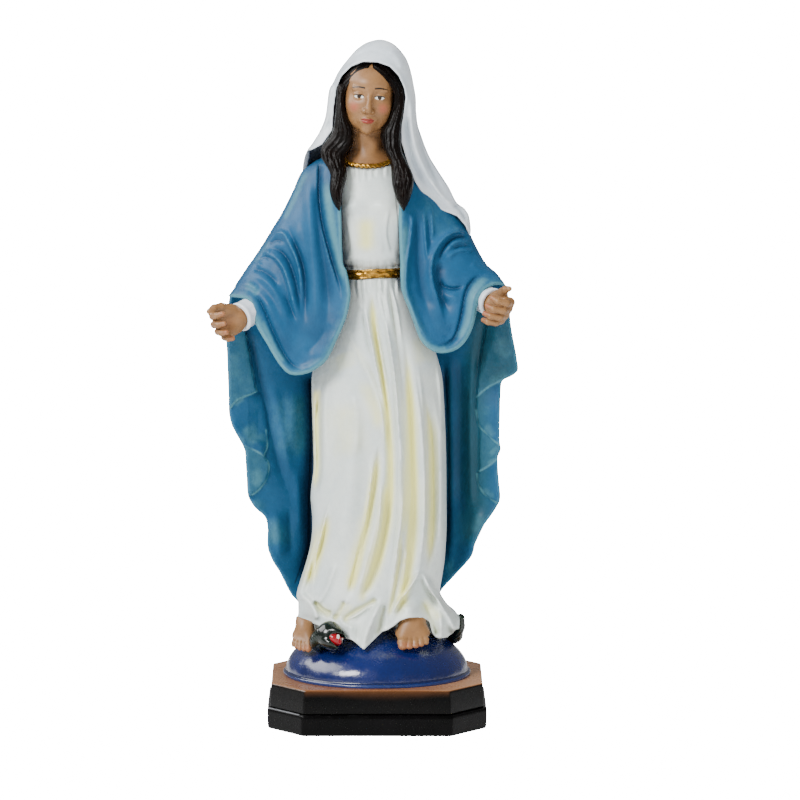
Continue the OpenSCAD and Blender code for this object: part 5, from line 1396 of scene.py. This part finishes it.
def locks():
    lock("hair_lock_right", [(337.5, 84), (336.3, 95), (335.5, 110), (333.5, 128), (329, 137), (323, 144.5), (320.6, 151), (321.8, 159), (327, 167), (330.4, 175), (329.4, 184), (330, 193.5), (333, 203), (338.5, 211)],
         [beside(z, -1, 0.35) for z in (5.5, 1, -2.6, -6.2, -9.4)] + [(353.6, 140), (350.5, 149), (345, 156.5), (345.4, 163), (347.2, 170), (346, 180), (343, 190), (341.5, 201), (340.5, 210)],
         [(341, 84, -8.5), (340, 100, -9.8), (341, 115, -11), (343, 130, -12), (330, 150, -12.5), (344, 150, -12.4), (333, 165, -15.2), (338, 178, -18), (337, 195, -19.4), (340, 210, -19.6)], ((-21, -23, 164), (-5, -1, 214)), 5)
    lock("hair_lock_left", [beside(z, 1, 0.35) for z in (5.5, 1, -2.6, -6.2, -9.4)] + [(381.2, 142), (384.5, 152), (389.8, 161), (391.2, 172), (392, 184), (396, 198), (402.5, 210)],
         [(403, 84), (405.8, 94), (404.6, 110), (401.8, 126), (400.8, 140), (402, 151), (407, 162), (413, 175), (413.4, 186), (410.4, 198), (404.5, 210.5)],
         [(399, 86, -8.5), (400, 100, -9.6), (396, 115, -11), (388, 130, -12), (397, 130, -12.2), (388, 148, -13.6), (400, 150, -13.8), (398, 165, -16.6), (402, 180, -18.6), (404, 205, -19.6)], ((-1, -23, 164), (14, -1, 214)), 5)


# ---------------------------------------------------------------- belt and collar
def trims():
    BELT = fine_table([(140, -13.4, 12.2, -15.6, 12.2), (146, -12.2, 11.0, -14.6, 11.5), (149, -12.4, 11.2, -14.7, 11.4), (156, -13.4, 12.0, -15.9, 11.7)], 40)

    def field(X, Y, Z):
        zc = 148.6 + 0.035 * X + 0.25 * np.cos(X * 0.28)
        q = (Z - zc)
        f = tube(X, Y, Z, BELT, 2.3)
        f = f - 0.12 * np.cos(q * 4.4) - 0.10 * np.cos(1.9 * X + 2.2 * q) * (np.abs(q) < 2)
        f = smax(f, -(f + 1.3), 0.3)
        return smax(f, np.abs(q) - 1.65, 0.5)
    V, Q = biggest(*extract((-15, -22, 145), (14, 16, 152.5), 0.22, field))
    at, N, u, v, face = masks(V, Q, 4, 20, 0.5)
    q = V[:, 2] - (148.6 + 0.035 * V[:, 0] + 0.25 * np.cos(V[:, 0] * 0.28))
    at["line"] = np.maximum(np.clip((-q - 0.9) / 0.4, 0, 1), 0.9 * np.clip(-at["fine"] / 0.05, 0, 1))
    add("belt_piece", V, Q, "belt", PAINT["gilt"], at)

    arc = [(341, 155), (342.5, 159), (346, 162.4), (353, 164.8), (361, 166), (370, 166.3), (379, 165.6), (386, 163.4), (392, 159.8), (395.6, 155)]
    pts = []
    for (u0, v0) in curve(arc, 4)[::2]:
        s = (u0 - 368) / 27
        y = -12.2 + 5.2 * s * s
        x, z = back_to(u0, v0, y)
        pts.append((float(x), y, float(z)))
    x1, z1 = pts[-1][0], pts[-1][2]
    x0, z0 = pts[0][0], pts[0][2]
    cx, rx = (x0 + x1) / 2, (x1 - x0) / 2
    for k in range(1, 12):
        a = math.pi * k / 12
        pts.append((cx + rx * math.cos(a), -6.6 + 12.5 * math.sin(a), z1 + (z0 - z1) * k / 12 + 2.0 * math.sin(a)))
    pts.append(pts[0])

    def ring(X, Y, Z):
        f = chain(X, Y, Z, pts, [0.78] * len(pts), 0.5)
        return f - 0.08 * np.cos(4.2 * X + 3 * Z)
    V, Q = biggest(*extract((-14, -15, 179), (9, 8, 190), 0.2, ring))
    at, N, u, v, face = masks(V, Q, 4, 20, 0.5)
    at["line"] = np.clip((0.1 - N[:, 2]) / 0.7, 0, 1) * 0.85
    add("neckline_trim_piece", V, Q, "neckline_trim", PAINT["gilt"], at)


# ---------------------------------------------------------------- hands
WRIST = {"right": dict(w=(-44.6, -16.0, 134.8), cuff=(-0.62, -0.72, -0.30), f=(-0.84, -0.46, -0.28), s=(-0.18, -0.02, 0.98), side=1),
         "left": dict(w=(37.4, -15.0, 139.4), cuff=(0.54, -0.81, -0.22), f=(0.60, -0.74, -0.32), s=(0.16, -0.10, 0.98), side=-1)}


def hand(side):
    wr = WRIST[side]
    w = np.array(wr["w"])
    c, cb, cn = frame_of(wr["cuff"], (0, 0, 1))
    f_, s_, n_ = frame_of(wr["f"], wr["s"])
    n_ = n_ if n_[1] < 0 else -n_
    lo, hi = w - 19, w + 19

    def tubef(X, Y, Z):
        x, y, z = turned(X, Y, Z, (c, cb, cn), w)
        r = np.hypot(y, z * 1.04)
        th = np.arctan2(z, y)
        flare = 0.35 * np.exp(-((x + 0.3) / 1.0) ** 2) + 0.10 * np.cos(9 * th) * np.clip(-x / 3, 0, 1)
        f = smax(r - 4.55 - flare, -(r - 3.45), 0.5)
        return smax(f, np.abs(x + 4.6) - 4.9, 0.7)
    V, Q = biggest(*extract(w - 12, w + 9, 0.24, tubef))
    at, N, u, v, face = masks(V, Q, 4, 20, 0.5)
    add("cuff_" + side + "_piece", V, Q, "cuff_" + side, PAINT["cuff"], at)

    o = w + 0.6 * c
    bend = [(50, 92, 128), (42, 86, 124), (38, 80, 118), (40, 84, 120)] if side == "right" else [(58, 112, 160), (60, 116, 164), (62, 120, 168), (64, 124, 172)]
    seg = (3.6, 2.9, 2.2) if side == "right" else (3.7, 3.1, 2.4)
    q0 = [3.7, 1.3, -1.1, -3.4]
    tip = []

    def field(X, Y, Z):
        x, y, z = turned(X, Y, Z, (f_, s_, n_), o)
        # forearm down to the wrist, hidden by the cuff
        a = rod(X, Y, Z, w - c * 8.5, w + c * 0.4, 3.2, 3.15)
        p = a
        for k, q in enumerate(q0):
            p = smin(p, rod(x, y, z, (0.4, q * 0.55, 0.0), (7.6 - 0.25 * k * k, q, 0.15), 1.7, 1.5), 1.6)
        p = smin(p, egg(x, y, z, (3.2, 3.3, 1.1), (3.6, 2.0, 1.6)), 1.2)
        p = smin(p, egg(x, y, z, (3.2, -2.9, 0.8), (3.6, 1.8, 1.5)), 1.2)
        p = smax(p, -egg(x, y, z, (5.0, 0.2, 3.9), (3.2, 2.4, 2.4)), 1.2)
        fin = None
        for k, q in enumerate(q0):
            b = np.array([7.4 - 0.25 * k * k, q, 0.15])
            L = (1.0, 1.08, 1.0, 0.82)[k]
            pts, rs = [b], [1.35]
            spread = (0.10, 0.02, -0.06, -0.14)[k]
            for j in range(3):
                t = math.radians(bend[k][j])
                b = b + seg[j] * L * np.array([math.cos(t), spread, math.sin(t)])
                pts.append(b)
                rs.append((1.24, 1.08, 0.86)[j])
            g = chain(x, y, z, pts, rs, 0.35)
            g = smax(g, -(ball(x, y, z, pts[3] + 0.62 * np.array([-0.2, 0, 0.4]), 0.1)), 0.1)
            if len(tip) < 4:
                tip.append(pts[3])
            fin = g if fin is None else smin(fin, g, 0.12)
        p = smin(p, fin, 0.8)
        if side == "right":
            th = chain(x, y, z, [(1.6, 3.4, 0.7), (5.4, 5.7, 1.7), (8.2, 6.3, 2.1), (10.2, 5.9, 2.2)], [1.7, 1.45, 1.25, 0.95], 0.4)
        else:
            th = chain(x, y, z, [(1.6, 3.4, 0.7), (4.4, 5.9, 1.7), (6.2, 7.6, 2.3), (7.9, 8.6, 2.5)], [1.7, 1.45, 1.25, 0.95], 0.4)
        return smin(p, th, 0.9)
    V, Q = biggest(*extract(lo, hi, 0.27, field))
    at, N, u, v, face = masks(V, Q, 4, 30, 0.5)
    x, y, z = turned(V[:, 0], V[:, 1], V[:, 2], (f_, s_, n_), o)
    at["dark"] = np.maximum(at["dark"], 0.8 * np.clip(-at["fine"] / 0.1, 0, 1))
    red = np.zeros(len(V))
    for p in tip:
        red = np.maximum(red, np.exp(-((x - p[0]) ** 2 + (y - p[1]) ** 2 + (z - p[2]) ** 2) / 3.0))
    at["blush"] = 0.5 * red + 0.3 * np.exp(-((x - 5) ** 2 + y ** 2) / 14)
    add("hand_" + side + "_piece", V, Q, "hand_" + side, PAINT["skin"], at)


def hands():
    hand("right")
    hand("left")


# ---------------------------------------------------------------- feet
def foot(side, o, pitch, yaw, k, wide):
    a, b = math.radians(pitch), math.radians(yaw)
    ex = np.array([math.cos(b), math.sin(b), 0])
    fy = np.array([-math.sin(b), math.cos(b), 0])
    ey = fy * math.cos(a) + np.array([0, 0, math.sin(a)])
    ez = np.cross(ex, ey)
    sg = 1 if side == "left" else -1
    nails = [(-3.15 * sg, -6.2, 1.75), (-1.35 * sg, -6.3, 1.5), (0.35 * sg, -6.0, 1.4), (1.9 * sg, -5.4, 1.3), (3.3 * sg, -4.6, 1.2)]

    hem = region([(280, 612)] + HEM + [(470, 612), (470, 560), (280, 560)], 1)

    def field(X, Y, Z):
        U, Vv = front(X, Y, Z)
        tuck = -sample(px(hem), U, Vv) - 0.5
        x, y, z = turned(X, Y, Z, (ex, ey, ez), o)
        x, y, z = x / (k * wide), y / k, z / k
        f = egg(x, y, z, (0, 7.0, 3.2), (3.7, 7.5, 3.9))
        f = smin(f, egg(x, y, z, (-0.2 * sg, 0.6, 1.2), (4.7, 4.2, 2.3)), 2.2)
        f = smin(f, rod(x, y, z, (-1.2 * sg, 5, 4.4), (-2.6 * sg, -1.5, 2.0), 1.6, 1.2), 2.0)
        toes = None
        for i in range(5):
            tx = (-3.05 + (0, 1.75, 3.4, 4.9, 6.2)[i]) * sg
            ty = (-6.0, -6.1, -5.8, -5.2, -4.4)[i]
            r0, r1 = (1.45, 1.0, 0.95, 0.9, 0.85)[i], (1.25, 0.95, 0.88, 0.8, 0.75)[i]
            g = chain(x, y, z, [(tx * 0.9, -1.8, 1.5), (tx, ty * 0.72, 1.55), (tx * 1.02, ty, 1.0)], [r0, r0, r1], 0.3)
            toes = g if toes is None else smin(toes, g, 0.12)
        f = smin(f, toes, 0.7)
        return smax(smax(f, -z - 0.2, 0.4) * k * min(1, wide), tuck, 0.3)
    V, Q = biggest(*extract(o - 16, o + 16, 0.24, field))
    at, N, u, v, face = masks(V, Q, 4, 30, 0.4)
    x, y, z = turned(V[:, 0], V[:, 1], V[:, 2], (ex, ey, ez), o)
    x, y, z = x / (k * wide), y / k, z / k
    at["dark"] = np.maximum(at["dark"], np.clip(-at["fine"] / 0.08, 0, 1))
    at["blush"] = 0.45 * np.clip((-y - 4) / 2, 0, 1)
    add("foot_" + side + "_piece", V, Q, "foot_" + side, PAINT["skin"], at)


def feet():
    foot("right", np.array([-24.0, -12.4, 28.8]), 42, -12, 0.86, 0.98)
    foot("left", np.array([11.8, -17.4, 30.4]), 38, 4, 0.92, 1.32)


# ---------------------------------------------------------------- serpent
def serpent():
    body = [(-15.6, -21.4, 30.4), (-18.2, -21.2, 31.4), (-19.8, -19.6, 29.4), (-19.4, -16.8, 27.9), (-19.0, -11.5, 27.8), (-19.6, -5.0, 27.8), (-21.6, 3.0, dome(-21.6, 3.0) + 1.8),
            (-24.6, 10.4, dome(-24.6, 10.4) + 2.0), (-18.0, 17.6, dome(-18, 17.6) + 2.0), (-8.0, 22.0, dome(-8, 22) + 2.0), (3.0, 22.8, dome(3, 22.8) + 2.0), (13.4, 20.4, dome(13.4, 20.4) + 2.0),
            (21.6, 15.4, dome(21.6, 15.4) + 2.2), (25.6, 8.6, dome(25.6, 8.6) + 3.4), (26.2, 4.0, 28.4), (26.9, 1.0, 31.2), (27.4, 0.0, 33.4)]
    P = np.array(body)
    t = np.linspace(0, len(P) - 1, 90)
    i = np.clip(t.astype(int), 0, len(P) - 2)
    s = (t - i)[:, None]
    g = lambda j: P[np.clip(i + j, 0, len(P) - 1)]
    C = 0.5 * (2 * g(0) + (g(1) - g(-1)) * s + (2 * g(-1) - 5 * g(0) + 4 * g(1) - g(2)) * s ** 2 + (3 * g(0) - g(-1) - 3 * g(1) + g(2)) * s ** 3)
    arc = np.concatenate([[0], np.cumsum(np.linalg.norm(np.diff(C, axis=0), axis=1))])
    q = arc / arc[-1]
    R = np.interp(q, [0, 0.04, 0.08, 0.14, 0.26, 0.34, 0.6, 0.9, 0.97, 1], [2.2, 2.2, 2.5, 2.1, 2.1, 2.4, 2.4, 2.3, 2.3, 1.5])

    hc = np.array([-15.2, -21.9, 30.8])
    hx, hy, hz = frame_of((0.74, -0.66, -0.10), (0.30, 0.55, 0.9))
    hz, hy = hy, -hz  # hz up, hy to the side
    hy = np.cross(hz, hx)

    def field(X, Y, Z):
        f = np.full(X.shape, 9.0, X.dtype)
        run = np.zeros(X.shape, X.dtype)
        for j in range(len(C) - 1):
            a, b = C[j], C[j + 1]
            lo, hi = np.minimum(a, b) - 4.5, np.maximum(a, b) + 4.5
            zs = Z[0, 0, :]
            k0, k1 = np.searchsorted(zs, lo[2]), np.searchsorted(zs, hi[2])
            xs = X[:, 0, 0]
            i0, i1 = np.searchsorted(xs, lo[0]), np.searchsorted(xs, hi[0])
            ys = Y[0, :, 0]
            j0, j1 = np.searchsorted(ys, lo[1]), np.searchsorted(ys, hi[1])
            if k1 <= k0 or i1 <= i0 or j1 <= j0:
                continue
            sl = (slice(i0, i1), slice(j0, j1), slice(k0, k1))
            f[sl] = np.minimum(f[sl], rod(X[sl], Y[sl], Z[sl], a, b, R[j], R[j + 1]))
        f = f - 0.16 * np.cos(3.3 * X + 2.6 * Z) * np.cos(3.1 * Y - 2.2 * Z)
        x, y, z = turned(X, Y, Z, (hx, hy, hz), hc)
        h = egg(x, y, z, (-0.9, 0, 0.7), (4.3, 4.2, 4.5))
        h = smin(h, egg(x, y, z, (1.9, 0, 1.9), (3.2, 3.1, 1.8)), 1.2)
        h = smin(h, egg(x, y, z, (1.4, 0, -2.5), (3.2, 2.9, 1.6)), 1.2)
        h = smax(h, -egg(x, y, z, (4.2, 0, -0.4), (3.6, 2.9, 2.2)), 0.4)
        h = smin(h, ball(x, np.abs(y), z, (0.6, 1.9, 2.5), 0.95), 0.3)
        h = smax(h, -ball(x, np.abs(y), z, (4.7, 1.1, 2.3), 0.3), 0.2)
        return smin(f, h, 1.0)
    V, Q = biggest(*extract((-32, -29, 15), (32, 28, 38), 0.3, field))
    at, N, u, v, face = masks(V, Q, 4, 30, 0.6)
    x, y, z = turned(V[:, 0], V[:, 1], V[:, 2], (hx, hy, hz), hc)
    eye = np.clip((0.55 - np.sqrt((x - 0.9) ** 2 + (np.abs(y) - 2.5) ** 2 + (z - 2.7) ** 2)) / 0.2 + 0.5, 0, 1)
    at["white"] = eye * 0.8
    add("serpent_piece", V, Q, "serpent", PAINT["serpent"], at)

    def mouthf(X, Y, Z):
        x, y, z = turned(X, Y, Z, (hx, hy, hz), hc)
        f = egg(x, y, z, (2.0, 0, -0.4), (2.7, 2.8, 2.15))
        f = smin(f, rod(x, y, z, (2.6, 0, -0.9), (4.7, 0.2, -1.1), 0.95, 0.5), 0.7)
        th = rod(x, np.abs(y), z, (3.9, 1.2, 0.95), (4.1, 1.2, -0.1), 0.36, 0.14)
        f = smin(f, rod(x, np.abs(y), z, (3.0, 1.2, 0.75), (3.9, 1.2, 0.95), 0.4, 0.36), 0.1)
        return smin(f, th, 0.08)
    V, Q = biggest(*extract(hc - 7, hc + 7, 0.16, mouthf))
    x, y, z = turned(V[:, 0], V[:, 1], V[:, 2], (hx, hy, hz), hc)
    at, N, u, v, face = masks(V, Q, 4, 20, 0.5)
    at["white"] = np.clip((0.62 - np.hypot(x - 4.0, np.abs(y) - 1.2)) / 0.1, 0, 1) * (z > -0.3) * (z < 1.0)
    add("serpent_mouth_piece", V, Q, "serpent_mouth", PAINT["mouth"], at)


def pins():
    for node in ("figure_pins", "neck_pin", "wrist_pins"):
        for o in bpy.data.objects:
            if o.type == "MESH" and node in o.name:
                o.data.materials.clear()
                o.data.materials.append(PAINT["steel"])


# ---------------------------------------------------------------- camera, floor, lights
def studio():
    cam = bpy.data.cameras.new("camera")
    cam.lens = FOCAL / 800 * 36
    cam.sensor_width = 36
    cam.shift_x = (400 - CU) / 800
    cam.shift_y = (CV - 400) / 800
    cam.clip_start, cam.clip_end = 0.05, 50
    co = bpy.data.objects.new("camera", cam)
    co.location = CAM * OV
    co.rotation_euler = (math.pi / 2 - PITCH, 0, 0)
    bpy.context.scene.collection.objects.link(co)
    bpy.context.scene.camera = co

    me = bpy.data.meshes.new("floor")
    me.from_pydata([(-60, -60, 0), (60, -60, 0), (60, 60, 0), (-60, 60, 0)], [], [(0, 1, 2, 3)])
    floor = bpy.data.objects.new("floor", me)
    bpy.context.scene.collection.objects.link(floor)
    m = bpy.data.materials.new("floor")
    m.use_nodes = True
    b = m.node_tree.nodes["Principled BSDF"]
    n = m.node_tree.nodes.new("ShaderNodeTexNoise")
    n.inputs["Scale"].default_value = 3.0
    r = m.node_tree.nodes.new("ShaderNodeValToRGB")
    r.color_ramp.elements[0].color = (0.90, 0.90, 0.90, 1)
    r.color_ramp.elements[1].color = (0.92, 0.92, 0.92, 1)
    m.node_tree.links.new(n.outputs["Fac"], r.inputs[0])
    m.node_tree.links.new(r.outputs[0], b.inputs["Base Color"])
    b.inputs["Roughness"].default_value = 0.7
    b.inputs["Specular IOR Level"].default_value = 0.2
    b.inputs["Emission Color"].default_value = (1, 1, 1, 1)
    lp = m.node_tree.nodes.new("ShaderNodeLightPath")
    st = m.node_tree.nodes.new("ShaderNodeMath")
    st.operation = "MULTIPLY_ADD"
    st.inputs[1].default_value = 24.0
    st.inputs[2].default_value = 0.1
    m.node_tree.links.new(lp.outputs["Is Camera Ray"], st.inputs[0])
    m.node_tree.links.new(st.outputs[0], b.inputs["Emission Strength"])
    me.materials.append(m)

    w = bpy.data.worlds.new("studio")
    w.use_nodes = True
    bg = w.node_tree.nodes["Background"]
    bg.inputs["Color"].default_value = (1, 1, 1, 1)
    lp = w.node_tree.nodes.new("ShaderNodeLightPath")
    st = w.node_tree.nodes.new("ShaderNodeMath")
    st.operation = "MULTIPLY_ADD"
    st.inputs[1].default_value = 30.0
    st.inputs[2].default_value = 0.26
    w.node_tree.links.new(lp.outputs["Is Camera Ray"], st.inputs[0])
    w.node_tree.links.new(st.outputs[0], bg.inputs["Strength"])
    bpy.context.scene.world = w

    def lamp(name, loc, size, power, aim=(0, 0, 0.11), color=(1, 1, 1), shine=True, glow=True):
        d = bpy.data.lights.new(name, "AREA")
        d.shape = "RECTANGLE"
        d.size, d.size_y = size
        d.energy = power
        d.color = color
        o = bpy.data.objects.new(name, d)
        o.location = loc
        o.rotation_euler = (Vector(aim) - Vector(loc)).to_track_quat("-Z", "Y").to_euler()
        o.visible_glossy = shine
        o.visible_diffuse = glow
        bpy.context.scene.collection.objects.link(o)
    lamp("key", (-0.84, -0.98, 0.92), (0.60, 0.50), 35)
    lamp("fill", (0.9, -1.2, 0.40), (0.9, 0.9), 11, shine=False)
    lamp("top", (0.0, 0.0, 1.3), (0.6, 0.6), 7, shine=False)
    lamp("glint", (-0.74, 0.10, 0.70), (0.85, 0.60), 14, glow=False)
    lamp("back", (0.2, 1.2, 0.7), (0.8, 0.6), 6, shine=False)


BUILD = [plinth, globe, gown, bodice, mantle_back, sleeve_right, sleeve_left, veil, head, hair_cap, locks, trims, hands, feet, serpent, pins]
for make in BUILD:
    make()
studio()
